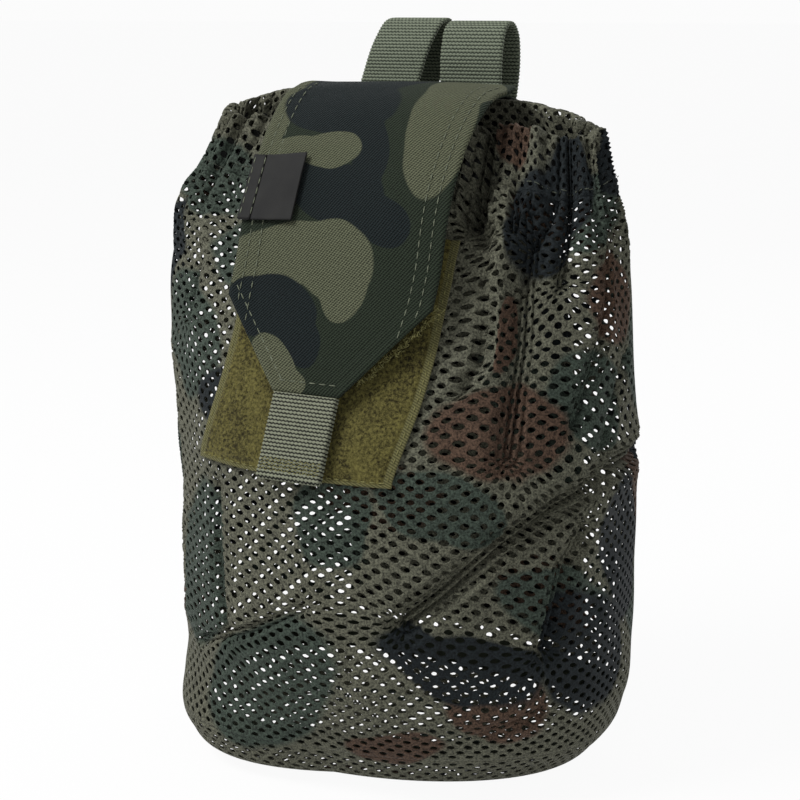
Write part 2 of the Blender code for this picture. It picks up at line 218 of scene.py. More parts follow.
def gathers(share, height):
    """Push of the mouth's gathers, fine at the elastic and broader and softer below it."""
    wave = 2 * math.pi * share
    fine = np.cos(26 * wave + 1.4 * np.sin(3 * wave + 0.6) + 0.5 * np.sin(7 * wave))
    broad = np.cos(13 * wave + 0.8 * np.sin(2 * wave + 1.0))
    crush = np.sin(94 * wave + 5 * np.sin(8 * wave)) * np.sin(height / 4.2 + 4 * np.sin(11 * wave))
    drawn = 1.25 * eased(height, 165, 226) * fine + 1.5 * eased(height, 110, 216) * broad
    return drawn + 1.25 * eased(height, 185, 224) * crush


def free_cloth(height, turn):
    """1 where the net is free to fold, and 0 under the panels sewn to it."""
    x, back = np.abs(wall_point(height, turn)[..., 0]), np.sin(turn) > 0
    front_panel = (1 - eased(x, 43, 54)) * eased(height, 112, 124) * (1 - eased(height, 204, 214))
    return 1 - np.where(back, 1 - eased(x, 50, 60), front_panel)


# Folds of the net: points (across from the front's middle, height), reach, pull and depth
ROPE_PITCH = 2.9
NET_FOLDS = (
    (((18, 250), (24, 236), (33, 216), (40, 206)), 17.0, 0.5, 15.0),
    (((44, 208), (54, 184), (56, 164), (52, 155), (42, 147)), 9.0, 0.7, 5.0),
    (((58, 216), (68, 192), (71, 167), (71, 134)), 18.0, 0.68, 5.0),
    (((156, 123), (121, 124), (90, 115), (69, 102), (48, 84), (36, 75)), 15.0, 0.78, 6.5),
    (((103, 105), (94, 91), (86, 63)), 14.0, 0.66, 5.0),
    (((48, 24), (62, 30), (84, 38)), 10.0, 0.6, 3.5),
    (((56, 246), (50, 236), (47, 226), (54, 210)), 8.0, 0.66, 4.5),
    (((88, 246), (82, 229), (84, 190)), 12.0, 0.7, 5.0),
    (((70, 246), (72, 226), (66, 204)), 8.0, 0.6, 3.5),
    (((122, 240), (117, 220), (110, 180), (96, 142)), 12.0, 0.66, 4.5),
    (((128, 160), (112, 132)), 11.0, 0.6, 3.5),
    (((-43, 114), (-42, 74), (-36, 58)), 10.0, 0.55, 3.0),
    (((-95, 150), (-80, 60)), 11.0, 0.55, 3.5),
    (((-84, 240), (-67, 205), (-70, 170)), 11.0, 0.66, 4.0),
    (((-112, 190), (-104, 120)), 11.0, 0.6, 3.5),
    (((-59, 48), (-23, 64), (-2, 76)), 10.0, 0.55, 2.5),
)


def away_from(line, spot):
    """Shortest way from a line of points to each spot."""
    away = np.full(spot.shape, np.inf)
    for start, end in zip(np.array(line[:-1], float), np.array(line[1:], float)):
        run = end - start
        share = np.clip((spot - start) @ run / (run @ run), 0.0, 1.0)
        step = spot - start - share[:, None] * run
        nearer = np.sum(step**2, axis=1) < np.sum(away**2, axis=1)
        away[nearer] = step[nearer]
    return away


def settled(share, height):
    """Where the cloth lies, as share and height, once each fold has drawn the net towards it."""
    spot = np.stack(((share - 0.5) * CLOTH_WIDTH, height), axis=-1)
    free = free_cloth(height, np.interp(share, round_shares, round_turns)) * eased(height, 20, 44)
    sewn_top = 1 - eased(height, 196, 222)
    for line, reach, pull, _ in NET_FOLDS:
        away = away_from(line, spot)
        near = pull * free * np.exp(-np.sum(away**2, axis=1) / reach**2)
        spot = spot - near[:, None] * away * np.stack((np.ones(len(near)), sewn_top), axis=-1)
    return spot[:, 0] / CLOTH_WIDTH + 0.5, spot[:, 1]


def net_folds(share, height):
    """Push of the folds, of the ropes of cloth bunched in them and of the cloth's soft bulges."""
    across = (share - 0.5) * CLOTH_WIDTH
    crumple = np.sin(across / 7.5 + 2.0 * np.sin(height / 31))
    crumple *= np.sin(height / 11 + 1.7 * np.sin(across / 27))
    bulge = np.sin(across / 33 + height / 41 + 0.5) * np.sin(height / 37 - across / 51)
    push = 0.6 * crumple + 1.3 * bulge
    for line, reach, _, depth in NET_FOLDS:
        gap = np.linalg.norm(away_from(line, np.stack((across, height), axis=-1)), axis=1)
        valley, shoulder, rope = (np.exp(-((gap / (part * reach)) ** 2)) for part in (0.3, 0.75, 0.45))
        push -= depth * (valley - 0.35 * shoulder)
        push += 0.3 * depth * np.cos(2 * math.pi * gap / ROPE_PITCH) * rope
    return push * eased(height, 20, 44)


def net_point(height, turn, lift):
    """Points of the net, with the mouth a little higher at the flap's left and lower at the right."""
    point = wall_lifted(height, turn, lift)
    x, back = point[..., 0], np.sin(turn) > 0
    hitch = np.where(back, 4.5, 1.5) * np.exp(-(((x + 52) / 15) ** 2))
    hitch = hitch + 2.0 * np.exp(-(((x - 38) / 16) ** 2)) - 4.5 * eased(x, 50, 78)
    point[..., 2] += hitch * eased(height, 195, 240)
    return point


def paint(red, green, blue):
    """Colour as it is seen, 0 to 255, in the shader's linear values."""
    seen = np.array((red, green, blue)) / 255
    return (*np.where(seen > 0.04045, ((seen + 0.055) / 1.055) ** 2.4, seen / 12.92).tolist(), 1.0)


def add_node(tree, kind, sockets, **settings):
    """Adds a shader node, with its settings and with its sockets linked or set."""
    made = tree.nodes.new(kind)
    for name, value in settings.items():
        setattr(made, name, value)
    for name, value in sockets.items():
        if isinstance(value, bpy.types.NodeSocket):
            tree.links.new(value, made.inputs[name])
        else:
            made.inputs[name].default_value = value
    return made


def mixed(tree, share, first, second):
    """Colour between two colours."""
    return add_node(tree, "ShaderNodeMix", {0: share, 6: first, 7: second}, data_type="RGBA").outputs[2]


def math_node(tree, operation, *values):
    return add_node(tree, "ShaderNodeMath", dict(enumerate(values)), operation=operation).outputs[0]


def vector_math(tree, operation, sockets):
    return add_node(tree, "ShaderNodeVectorMath", sockets, operation=operation).outputs


def ranged(tree, value, from_low, from_high, to_low=0.0, to_high=1.0):
    return add_node(tree, "ShaderNodeMapRange", {
        "Value": value, "From Min": from_low, "From Max": from_high, "To Min": to_low, "To Max": to_high,
    }).outputs[0]


def noise(tree, where, scale, detail, roughness=0.5):
    return add_node(tree, "ShaderNodeTexNoise", {
        "Vector": where, "Scale": scale, "Detail": detail, "Roughness": roughness}).outputs


def own_place(tree):
    """The piece's own coordinates."""
    return add_node(tree, "ShaderNodeTexCoord", {}).outputs["Object"]


def shaded(tree, colour, shade):
    """A colour made darker or brighter."""
    return add_node(tree, "ShaderNodeHueSaturation", {"Color": colour, "Value": shade}).outputs[0]


def surface(tree, shader, colour, height, strength, depth):
    """Gives the shader its colour and a small bump."""
    tree.links.new(colour, shader.inputs["Base Color"])
    bump = add_node(tree, "ShaderNodeBump", {"Height": height, "Strength": strength, "Distance": depth})
    tree.links.new(bump.outputs[0], shader.inputs["Normal"])


def new_finish(name, roughness, sheen):
    """Cloth material: the material, its nodes and its shader, to be coloured."""
    made = bpy.data.materials.new(name)
    made.use_nodes = True
    shader = made.node_tree.nodes["Principled BSDF"]
    shader.inputs["Roughness"].default_value = roughness
    shader.inputs["Sheen Weight"].default_value = sheen
    shader.inputs["Sheen Roughness"].default_value = 0.6
    shader.inputs["Specular IOR Level"].default_value = 0.1
    return made, made.node_tree, shader


def cloth_measures(tree):
    """The cloth's own flat measures, across and along, in metres."""
    return add_node(tree, "ShaderNodeUVMap", {}, uv_map="print").outputs[0]


def camouflage(tree, where, ground, layers, wander, blur):
    """Printed blotches, layer over layer: a colour and spots (across, along, two halves, turn)."""
    drift = noise(tree, where, 38.0, 1.0)["Color"]
    shifted = vector_math(tree, "SUBTRACT", {0: drift, 1: (0.5, 0.5, 0.5)})[0]
    step = vector_math(tree, "SCALE", {0: shifted, "Scale": wander})[0]
    where = vector_math(tree, "ADD", {0: where, 1: step})[0]
    colour = ground
    for tone, spots in layers:
        edge = None
        for across, along, half_long, half_short, turn in spots:
            local = add_node(tree, "ShaderNodeMapping", {
                "Vector": where, "Location": (across * MM, along * MM, 0.0),
                "Rotation": (0.0, 0.0, math.radians(turn)), "Scale": (half_long * MM, half_short * MM, 1.0),
            }, vector_type="TEXTURE")
            reach = vector_math(tree, "LENGTH", {0: local.outputs[0]})["Value"]
            edge = reach if edge is None else math_node(tree, "SMOOTH_MIN", edge, reach, 0.25)
        colour = mixed(tree, ranged(tree, edge, 1.0 - blur, 1.0 + blur, 1.0, 0.0), colour, tone)
    return colour


def knit_surface(tree, shader, colour, size, depth):
    """Fine yarn: light and dark flecks and a small bump, on the piece's own coordinates."""
    fleck = noise(tree, own_place(tree), 1.0 / size, 2.0, 0.7)["Fac"]
    lit = shaded(tree, colour, ranged(tree, fleck, 0.34, 0.68, 0.3, 1.7))
    surface(tree, shader, lit, fleck, 0.6, depth)


NET_OLIVE = paint(87, 87, 74)
NET_GREEN = paint(56, 65, 57)
NET_BROWN = paint(74, 58, 47)
NET_NAVY = paint(25, 30, 32)
net_finish, tree, shader = new_finish("printed net", 0.7, 0.02)
net_green_spots = (
    (-19, 24, 36, 22, 41), (45, 100, 22, 11, -19), (105, 134, 22, 15, -27), (-74, 206, 40, 16, -9),
    (94, 58, 26, 14, -16), (10, 92, 16, 13, 61), (-57, 61, 37, 19, 77), (103, 204, 31, 19, 3),
    (-70, 145, 26, 20, -32), (-118, 90, 30, 18, 20), (-150, 170, 34, 20, -30), (160, 150, 30, 22, 40),
    (172, 40, 34, 20, -20), (-175, 40, 36, 22, 30), (-30, 180, 24, 14, 20), (15, 160, 22, 16, 0),
    (215, 110, 34, 24, 60), (-215, 120, 30, 24, -50),
)
net_brown_spots = (
    (68, 123, 28, 16, -5), (62, 157, 5, 14, 0), (70, 23, 21, 12, -9), (29, 5, 20, 9, 7),
    (45, 232, 13, 12, 60), (117, 165, 20, 15, -15), (-100, 30, 24, 14, 20), (-130, 205, 26, 14, 10),
    (150, 90, 20, 14, 60),
    (-165, 110, 26, 16, -20), (190, 190, 30, 16, 10), (-210, 60, 26, 16, 0), (215, 30, 26, 14, 10),
)
net_navy_spots = (
    (66, 197, 27, 20, -29), (84, 214, 20, 22, 0), (54, 40, 34, 12, -15), (108, 39, 27, 22, -55),
    (133, 69, 26, 17, -68), (-100, 170, 26, 12, 60), (-140, 60, 24, 14, 40), (170, 110, 26, 14, 70),
    (-190, 190, 28, 14, 20),
    (145, 215, 24, 12, -10), (-35, 128, 22, 12, 10), (200, 150, 24, 12, -40),
)
net_colour = camouflage(
    tree, cloth_measures(tree), NET_OLIVE,
    ((NET_GREEN, net_green_spots), (NET_BROWN, net_brown_spots), (NET_NAVY, net_navy_spots)), 0.014, 0.06)
knit_surface(tree, shader, net_colour, 0.0008, 0.0004)


def add_piece(name, mesh, finish, body, slot, *nodes):
    """Makes a mesh a named piece that rides on a body and stands for the given solids."""
    mesh.name = name
    mesh.materials.clear()
    mesh.materials.append(finish)
    mesh.shade_smooth()
    piece = bpy.data.objects.new(name, mesh)
    bpy.context.collection.objects.link(piece)
    if nodes:
        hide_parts(*nodes)
    if body:
        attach(piece, body)
    return piece


def thicken(piece, thickness, offset=0.0):
    cloth = piece.modifiers.new("cloth thickness", "SOLIDIFY")
    cloth.thickness = thickness * MM
    cloth.offset = offset
    return piece


wall = net_tube(NET_COLUMNS, NET_ROWS)
flat = points_of(wall)
share = tube_shares(flat)
run = flat[:, 2] * rise_run[-1] / (NET_ROWS * NET_PITCH[1])
lay_print(wall, (share - 0.5) * CLOTH_WIDTH, run, CLOTH_WIDTH)
share, height = settled(share, np.interp(run, rise_run, rise))
turn = np.interp(share, round_shares, round_turns)
push = free_cloth(height, turn) * (gathers(share, height) + net_folds(share, height))
middles = np.empty(3 * len(wall.polygons))
wall.polygons.foreach_get("center", middles)
quarter = np.floor(4 * tube_shares(middles.reshape(-1, 3))).astype(int)
move_to(wall, net_point(height, turn, push - NET_INSET))
bm = bmesh.new()
bm.from_mesh(wall)
bm.faces.ensure_lookup_table()
for edge in bm.edges:
    sides = edge.link_faces
    if len(sides) == 2 and quarter[sides[0].index] != quarter[sides[1].index]:
        edge.smooth = False
bm.to_mesh(wall)
bm.free()
for index, name in enumerate(("back_left", "front_left", "front_right", "back_right")):
    bm = bmesh.new()
    bm.from_mesh(wall)
    spare = [face for face in bm.faces if quarter[face.index] != index]
    bmesh.ops.delete(bm, geom=spare, context="FACES")
    mesh = mesh_of(bm, "net_wall")
    piece = add_piece("net_wall_" + name, mesh, net_finish, "pouch", "printed_net", "mesh_body")
    thicken(piece, NET_YARN)
bpy.data.meshes.remove(wall)


# Base
# A dish of the same net, sewn to the wall all round: its rim curves in from the seam to a flat
# floor, whose holes run from front to back.
BASE_YARN = 0.4
rim_heights = np.linspace(0.0, BASE_SEAM, 40)
rim_runs = chord_lengths(wall_point(rim_heights, FRONT))
RIM_ROWS = round(rim_runs[-1] / NET_PITCH[1])
rim = net_tube(NET_COLUMNS, RIM_ROWS)
flat = points_of(rim)
share = tube_shares(flat)
run = flat[:, 2] * rim_runs[-1] / (RIM_ROWS * NET_PITCH[1])
lay_print(rim, (share - 0.5) * CLOTH_WIDTH, run - rim_runs[-1], CLOTH_WIDTH)
height, turn = np.interp(run, rim_runs, rim_heights), np.interp(share, round_shares, round_turns)
placed = wall_lifted(height, turn, np.full(len(run), -NET_INSET))
placed[:, 2] = np.maximum(placed[:, 2], BASE_YARN)
move_to(rim, placed)
base_rim = add_piece("net_base_rim", rim, net_finish, "pouch", "printed_base_net", "mesh_base")
thicken(base_rim, BASE_YARN)

FLOOR_CELLS = (26, 12)
FLOOR_SIZE = (FLOOR_CELLS[0] * NET_PITCH[1], FLOOR_CELLS[1] * NET_PITCH[0])
bm = bmesh.new()
bmesh.ops.create_grid(bm, x_segments=FLOOR_CELLS[0], y_segments=FLOOR_CELLS[1], size=0.5)
bmesh.ops.scale(bm, vec=(*FLOOR_SIZE, 1.0), verts=bm.verts)
open_cells(bm, (HOLE_FLATNESS, 1.0, 1.0))
floor_net = rounded(bm)
flat = points_of(floor_net)
lay_print(floor_net, flat[:, 0] + 60.0, flat[:, 1] + 60.0)
side_x, side_y = 2 * flat[:, 0] / FLOOR_SIZE[0], 2 * flat[:, 1] / FLOOR_SIZE[1]
spread = np.maximum(np.abs(side_x), np.abs(side_y))[:, None]
floor_middle = np.array((0.0, 8.0, 0.0))
placed = floor_middle + (wall_point(0.0, np.arctan2(side_y, side_x)) - floor_middle) * spread
placed[:, 2] = BASE_YARN
move_to(floor_net, placed)
base_floor = add_piece("net_base_floor", floor_net, net_finish, "pouch", "printed_base_net", "mesh_base")
thicken(base_floor, BASE_YARN)


# Base binding
# A woven tape sewn inside over the seam of the wall and the base, so that no raw net shows.
# It is seen only as a dark band through the holes.
TAPE_FOOT, TAPE_TOP, TAPE_LIFT = 11.5, 24.5, -3.3
TAPE_ROUND, TAPE_CLOTH = 470.0, 0.8


def cloth_grid(columns, rows):
    """Flat grid of cloth and its points' shares across and along, each from 0 to 1."""
    bm = bmesh.new()
    bmesh.ops.create_grid(bm, x_segments=columns, y_segments=rows, size=0.5)
    mesh = mesh_of(bm, "cloth")
    shares = points_of(mesh) + 0.5
    return mesh, shares[:, 0], shares[:, 1]


def closed_ring(mesh):
    """Joins the two ends of a grid that has been bent into a ring."""
    bm = bmesh.new()
    bm.from_mesh(mesh)
    bmesh.ops.remove_doubles(bm, verts=bm.verts, dist=0.01 * MM)
    bm.to_mesh(mesh)
    bm.free()


def woven(tree, shader, colour, pitch, depth):
    """Plain weave: two crossing ribs of yarn, as shade and bump."""
    u, v, _ = add_node(tree, "ShaderNodeSeparateXYZ", {0: cloth_measures(tree)}).outputs
    warp = math_node(tree, "SINE", math_node(tree, "MULTIPLY", u, 2 * math.pi / pitch))
    weft = math_node(tree, "SINE", math_node(tree, "MULTIPLY", v, 2 * math.pi / pitch))
    weave = math_node(tree, "MULTIPLY", warp, weft)
    lit = shaded(tree, colour, ranged(tree, weave, -1.0, 1.0, 0.75, 1.25))
    surface(tree, shader, lit, weave, 0.5, depth)


tape_finish, tree, shader = new_finish("binding tape", 0.85, 0.02)
woven(tree, shader, paint(44, 48, 38), 0.0009, 0.0002)
tape, across, along = cloth_grid(144, 8)
lay_print(tape, across * TAPE_ROUND, along * (TAPE_TOP - TAPE_FOOT))
turn = np.interp(across, round_shares, round_turns)
move_to(tape, wall_lifted(TAPE_FOOT + along * (TAPE_TOP - TAPE_FOOT), turn, np.full(len(turn), TAPE_LIFT)))
closed_ring(tape)
binding = add_piece("base_binding", tape, tape_finish, "pouch", "binding_tape", "base_seam_tape")
thicken(binding, TAPE_CLOTH)


# Mouth casing
# The net's top edge, folded over and sewn down into a casing for the elastic, which draws it into
# small gathers. The flat back stays smooth, because the back panel is sewn to it.
HEM_TOP, HEM_OUTER, HEM_INNER = 246.0, -0.65, -4.95
HEM_MIDDLE, HEM_ROOM = 0.5 * (HEM_OUTER + HEM_INNER), 0.5 * (HEM_OUTER - HEM_INNER)
HEM_SHOULDER = HEM_TOP - HEM_ROOM
bend = np.linspace(0.0, math.pi, 9)
hem_heights = np.array((HEM_FOOT - 0.4, *(HEM_SHOULDER + HEM_ROOM * np.sin(bend)), HEM_FOOT))
hem_lifts = np.array((HEM_OUTER, *(HEM_MIDDLE + HEM_ROOM * np.cos(bend)), HEM_INNER))
hem_runs = chord_lengths(np.stack((hem_heights, hem_lifts), axis=-1))
HEM_ROWS = round(hem_runs[-1] / NET_PITCH[1])


def hem_push(share, height, turn):
    """Gathers of the casing, which ease off on the flat back."""
    x, back = np.abs(wall_point(height, turn)[..., 0]), np.sin(turn) > 0
    wave = 2 * math.pi * share
    ruffle = 1.1 * np.cos(39 * wave + 1.1 * np.sin(5 * wave)) * eased(height, 228, 244)
    foot = np.full(len(share), HEM_FOOT)
    gathered = gathers(share, foot) + 0.7 * net_folds(share, foot) + ruffle
    return np.where(back, eased(x, 48, 60), 1.0) * gathered


casing = net_tube(NET_COLUMNS, HEM_ROWS)
flat = points_of(casing)
share = tube_shares(flat)
run = flat[:, 2] * hem_runs[-1] / (HEM_ROWS * NET_PITCH[1])
height, lift = np.interp(run, hem_runs, hem_heights), np.interp(run, hem_runs, hem_lifts)
lay_print(casing, (share - 0.5) * CLOTH_WIDTH, rise_run[-1] + run, CLOTH_WIDTH)
share = settled(share, np.full(len(share), HEM_FOOT))[0]
turn = np.interp(share, round_shares, round_turns)
move_to(casing, net_point(height, turn, lift + hem_push(share, height, turn)))
mouth_casing = add_piece("mouth_casing", casing, net_finish, "pouch", "hem_net", "mouth_hem")
thicken(mouth_casing, NET_YARN)


def sewn_row(points, normals, pitch, length):
    """Places of the stitches along a line: their middles, directions, normals and length."""
    runs = chord_lengths(points)
    at = np.arange(0.5 * pitch, runs[-1], pitch)

    def on_line(values, where):
        return np.stack([np.interp(where, runs, values[:, k]) for k in range(3)], axis=-1)

    along = on_line(points, at + 0.3 * length) - on_line(points, at - 0.3 * length)
    return list(zip(on_line(points, at), along, on_line(normals, at), np.full(len(at), length)))


def stitches(name, rows, thickness, finish, body, slot):
    """Rows of thread stitches, each a small rounded bead half sunk into the cloth."""
    mesh = bpy.data.meshes.new(name)
    sewn = bmesh.new()
    for row in rows:
        bm = bmesh.new()
        for place, along, out, length in row:
            forward = Vector(along).normalized()
            side = Vector(out).cross(forward).normalized()
            turned = Matrix((forward, side, forward.cross(side))).transposed().to_4x4()
            size = Matrix.Diagonal((0.5 * length * MM, 0.5 * thickness * MM, 0.4 * thickness * MM, 1.0))
            spot = Matrix.Translation(Vector(place) * MM) @ turned @ size
            bmesh.ops.create_uvsphere(bm, u_segments=6, v_segments=5, radius=1.0, matrix=spot)
        bm.to_mesh(mesh)
        bm.free()
        sewn.from_mesh(mesh)
    bmesh.ops.recalc_face_normals(sewn, faces=sewn.faces)
    sewn.to_mesh(mesh)
    sewn.free()
    return add_piece(name, mesh, finish, body, slot)


def thread(name, colour):
    """Twisted sewing thread: fine slanting shade along the strand."""
    made, tree, shader = new_finish(name, 0.6, 0.02)
    twist = noise(tree, own_place(tree), 1800.0, 1.0)["Fac"]
    lit = shaded(tree, colour, ranged(tree, twist, 0.35, 0.65, 0.7, 1.25))
    tree.links.new(lit, shader.inputs["Base Color"])
    return made


casing_thread = thread("casing thread", paint(84, 88, 77))
share = np.linspace(0.0, 1.0, 900)
turn = np.interp(share, round_shares, round_turns)
height = np.full(len(share), 228.5)
lift = HEM_OUTER + 0.3 + hem_push(share, height, turn)
line = net_point(height, turn, lift)
out = net_point(height, turn, lift + 1.0) - line
stitches("casing_stitches", [sewn_row(line, out, 3.4, 2.6)], 0.42, casing_thread, "pouch", "hem_net")


# Elastic
# A flat woven elastic band that runs inside the casing and draws the mouth together.
# Its ribs run up and down, and its ends are lapped and sewn behind the back panel.
ELASTIC_ROUND, ELASTIC_WIDTH, ELASTIC_CLOTH, ELASTIC_RIBS = 380.0, 15.0, 0.9, 180
elastic_finish, tree, shader = new_finish("woven elastic", 0.7, 0.02)
woven(tree, shader, paint(34, 35, 34), 0.0012, 0.0003)
band, across, along = cloth_grid(360, 6)
turn = np.interp(across, round_shares, round_turns)
lay_print(band, across * ELASTIC_ROUND, along * ELASTIC_WIDTH)
height = HEM_FOOT + (HEM_SHOULDER - HEM_FOOT) * (0.12 + 0.76 * along)
ribs = 0.12 * np.cos(2 * math.pi * ELASTIC_RIBS * across)
move_to(band, net_point(height, turn, HEM_MIDDLE + hem_push(across, height, turn) + ribs))
closed_ring(band)
elastic = add_piece("mouth_elastic_band", band, elastic_finish, "pouch", "elastic", "mouth_elastic")
thicken(elastic, ELASTIC_CLOTH)


# Back panel
# Strong printed twill, sewn flat to the back of the net with its edges turned under, and turned
# forward over the mouth to carry the flap. It is the dark ground behind the net's holes.
PANEL_FOOT, PANEL_TOP, PANEL_RUN = 28.0, 245.4, 236.0
PANEL_HALF, PANEL_GAP, PANEL_CLOTH = 52.0, 0.9, 1.2
PANEL_TURNED = 0.45
YOKE_START = PANEL_TOP - PANEL_FOOT
YOKE_END = (25.4, 247.8)
YOKE_RISE = 3.5


def turn_at(height, x, back):
    """Turn at which the front or the back of the bag has this x."""
    half, drift = np.moveaxis(smooth_through(WALL_SECTIONS[:, 0], WALL_SECTIONS[:, 1:3], height), -1, 0)
    share = (np.abs(x - drift) / half) ** (squareness(height, back) / 2)
    turn = np.arccos(np.sign(x - drift) * share)
    return turn if back else 2 * math.pi - turn


def double_cloth(columns, rows):
    """Two layers of grid cloth closed round their edges: mesh, shares across and along, and side."""
    bm = bmesh.new()
    bmesh.ops.create_grid(bm, x_segments=columns, y_segments=rows, size=0.5)
    bmesh.ops.solidify(bm, geom=bm.faces[:], thickness=0.1)
    mesh = mesh_of(bm, "cloth")
    across, along, level = points_of(mesh).T
    return mesh, across + 0.5, along + 0.5, np.where(level > level.mean(), 1.0, -1.0)


def face_outward(mesh):
    bm = bmesh.new()
    bm.from_mesh(mesh)
    bmesh.ops.recalc_face_normals(bm, faces=bm.faces)
    bm.to_mesh(mesh)
    bm.free()


def panel_half_width(height):
    return PANEL_HALF - 10.0 * np.clip((height - 185.0) / 61.0, 0.0, 1.0)


def twill(name, ground, layers):
    """Printed twill: camouflage blotches over slanting ribs, each a row of short floats of yarn; a face
    marked inside gets near-black painted shade.
    """
    made, tree, shader = new_finish(name, 0.75, 0.02)
    where = cloth_measures(tree)
    colour = camouflage(tree, where, ground, layers, 0.006, 0.025)
    slant = (0.0, 0.0, math.radians(-38))
    slanted = add_node(tree, "ShaderNodeMapping", {"Vector": where, "Rotation": slant})
    across, along, _ = add_node(tree, "ShaderNodeSeparateXYZ", {0: slanted.outputs[0]}).outputs
    rib_turn = math_node(tree, "MULTIPLY", across, 2 * math.pi / TWILL_RIB)
    stagger = math_node(tree, "MULTIPLY", rib_turn, 0.5)
    float_turn = math_node(tree, "MULTIPLY_ADD", along, 2 * math.pi / TWILL_FLOAT, stagger)
    floats = math_node(tree, "MULTIPLY", math_node(tree, "SINE", float_turn), 0.6)
    yarn = noise(tree, where, 1300.0, 2.0)["Fac"]
    weave = math_node(tree, "ADD", math_node(tree, "SINE", rib_turn), floats)
    height = math_node(tree, "MULTIPLY_ADD", yarn, 2.0, weave)
    lit = shaded(tree, colour, ranged(tree, height, -0.6, 2.6, 0.2, 1.85))
    # The face marked inside is coloured near black: painted shade for the unlit inside of the bag, seen
    # through the net's holes.
    inner = add_node(tree, "ShaderNodeAttribute", {}, attribute_name="inside").outputs["Fac"]
    surface(tree, shader, mixed(tree, inner, lit, INNER_FACE_SHADE), height, 0.8, 0.00025)
    return made


TWILL_RIB, TWILL_FLOAT = 0.00102, 0.00085
TWILL_GREEN = paint(33, 41, 30)
TWILL_NAVY = paint(18, 26, 27)
TWILL_OLIVE = paint(84, 87, 68)
# Near-black painted shade for the back panel's inner face, which is seen through the net's holes.
INNER_FACE_SHADE = paint(13, 13, 11)
panel_olive_spots = (
    (-30, 30, 30, 16, 20), (28, 62, 26, 14, -30), (-18, 112, 30, 15, 15), (34, 150, 22, 16, 60),
    (-30, 190, 26, 13, -20), (16, 216, 24, 12, 10),
)
panel_navy_spots = (
    (20, 18, 30, 13, -10), (-34, 78, 22, 14, 50), (24, 106, 24, 14, 30), (-10, 156, 28, 13, -15),
    (38, 192, 20, 12, 60), (-20, 226, 26, 12, 0),
)
panel_finish = twill(
    "back twill", TWILL_GREEN, ((TWILL_NAVY, panel_navy_spots), (TWILL_OLIVE, panel_olive_spots)))
panel, across, along, side = double_cloth(40, 96)
# Marks the inner face, which the twill colours near black as painted shade.
panel.attributes.new("inside", "FLOAT", "POINT").data.foreach_set("value", np.where(side < 0, 1.0, 0.0))
run = along * PANEL_RUN
height = np.minimum(PANEL_FOOT + run, PANEL_TOP)
x = (1 - 2 * across) * (panel_half_width(height) - 0.45 * np.maximum(run - YOKE_START, 0.0))
lay_print(panel, x, run)
edge = np.minimum(panel_half_width(height) - np.abs(x), run)
lift = PANEL_GAP + 0.5 * PANEL_CLOTH * (1 + side) + PANEL_TURNED * eased(edge, 9.0, 2.0)
lift = lift + 0.25 * np.sin(run / 21) * np.cos(x / 17)
foot = wall_lifted(height, turn_at(height, x, True), lift)
yoke = np.clip((run - YOKE_START) / 22.0, 0.0, 0.75)[:, None]
shoulder = foot + np.array((0.0, 0.0, YOKE_RISE))
end = np.stack((x, np.full(len(x), YOKE_END[0]), YOKE_END[1] + 0.7 + 0.5 * PANEL_CLOTH * side), axis=-1)
move_to(panel, (1 - yoke) ** 2 * foot + 2 * yoke * (1 - yoke) * shoulder + yoke**2 * end)
face_outward(panel)
back_cloth = add_piece("back_cloth", panel, panel_finish, "pouch", "back_cloth", "back_panel")


def wall_row(height, turn, lift, pitch, length):
    """Row of stitches on cloth that is sewn to the wall."""
    line = wall_lifted(height, turn, np.full(len(turn), lift))
    return sewn_row(line, wall_lifted(height, turn, np.full(len(turn), lift + 1.0)) - line, pitch, length)


pale_thread = thread("pale thread", paint(104, 109, 92))
seam_lift = PANEL_GAP + PANEL_CLOTH + PANEL_TURNED
rows = []
for inset in (3.0, 7.0):
    for side in (-1.0, 1.0):
        height = np.linspace(PANEL_FOOT + inset, 240.0, 300)
        turn = turn_at(height, side * (panel_half_width(height) - inset), True)
        rows.append(wall_row(height, turn, seam_lift, 3.6, 2.7))
    x = np.linspace(inset - PANEL_HALF, PANEL_HALF - inset, 200)
    height = np.full(len(x), PANEL_FOOT + inset)
    rows.append(wall_row(height, turn_at(height, x, True), seam_lift, 3.6, 2.7))
stitches("panel_stitches", rows, 0.6, pale_thread, "pouch", "back_cloth")


# Loop panel
# The soft half of the closure: brushed loop tape with a flat woven selvage, sewn to the front.
# The flap's hooks can grip it anywhere, so it is longer than the hook patch.
PILE_HALF, PILE_LOW, PILE_HIGH, PILE_RUN = 40.5, 122.8, 205.0, 92.0
SELVAGE = 3.2
pile_finish, tree, shader = new_finish("brushed loop pile", 0.95, 0.05)
where = own_place(tree)
u, v, _ = add_node(tree, "ShaderNodeSeparateXYZ", {0: cloth_measures(tree)}).outputs
tuft = noise(tree, where, 900.0, 3.0, 0.75)["Fac"]
patch = noise(tree, where, 70.0, 3.0)["Fac"]
shade = math_node(tree, "MULTIPLY_ADD", tuft, 3.0, patch)
pile = mixed(tree, ranged(tree, shade, 1.55, 2.5), paint(30, 26, 9), paint(107, 101, 55))
border = math_node(tree, "MAXIMUM", math_node(tree, "ABSOLUTE", u), math_node(tree, "SUBTRACT", 0.0388, v))
slant = math_node(tree, "ADD", v, math_node(tree, "MULTIPLY", u, 0.5))
rib = math_node(tree, "SINE", math_node(tree, "MULTIPLY", slant, 2 * math.pi / 0.0009))
selvage = mixed(tree, ranged(tree, rib, -1.0, 1.0), paint(70, 68, 42), paint(110, 107, 71))
edge_share = ranged(tree, border, PILE_HALF * MM - 0.0033, PILE_HALF * MM - 0.0027)
surface(tree, shader, mixed(tree, edge_share, pile, selvage), tuft, 0.8, 0.0006)


def pile_turn(height, x):
    """Turn of a spot on the loop panel, whose foot hangs a little to the left."""
    askew = -5.5 * np.clip((168.0 - height) / 43.0, 0.0, 1.0) ** 1.5
    return turn_at(height, x + askew, False)


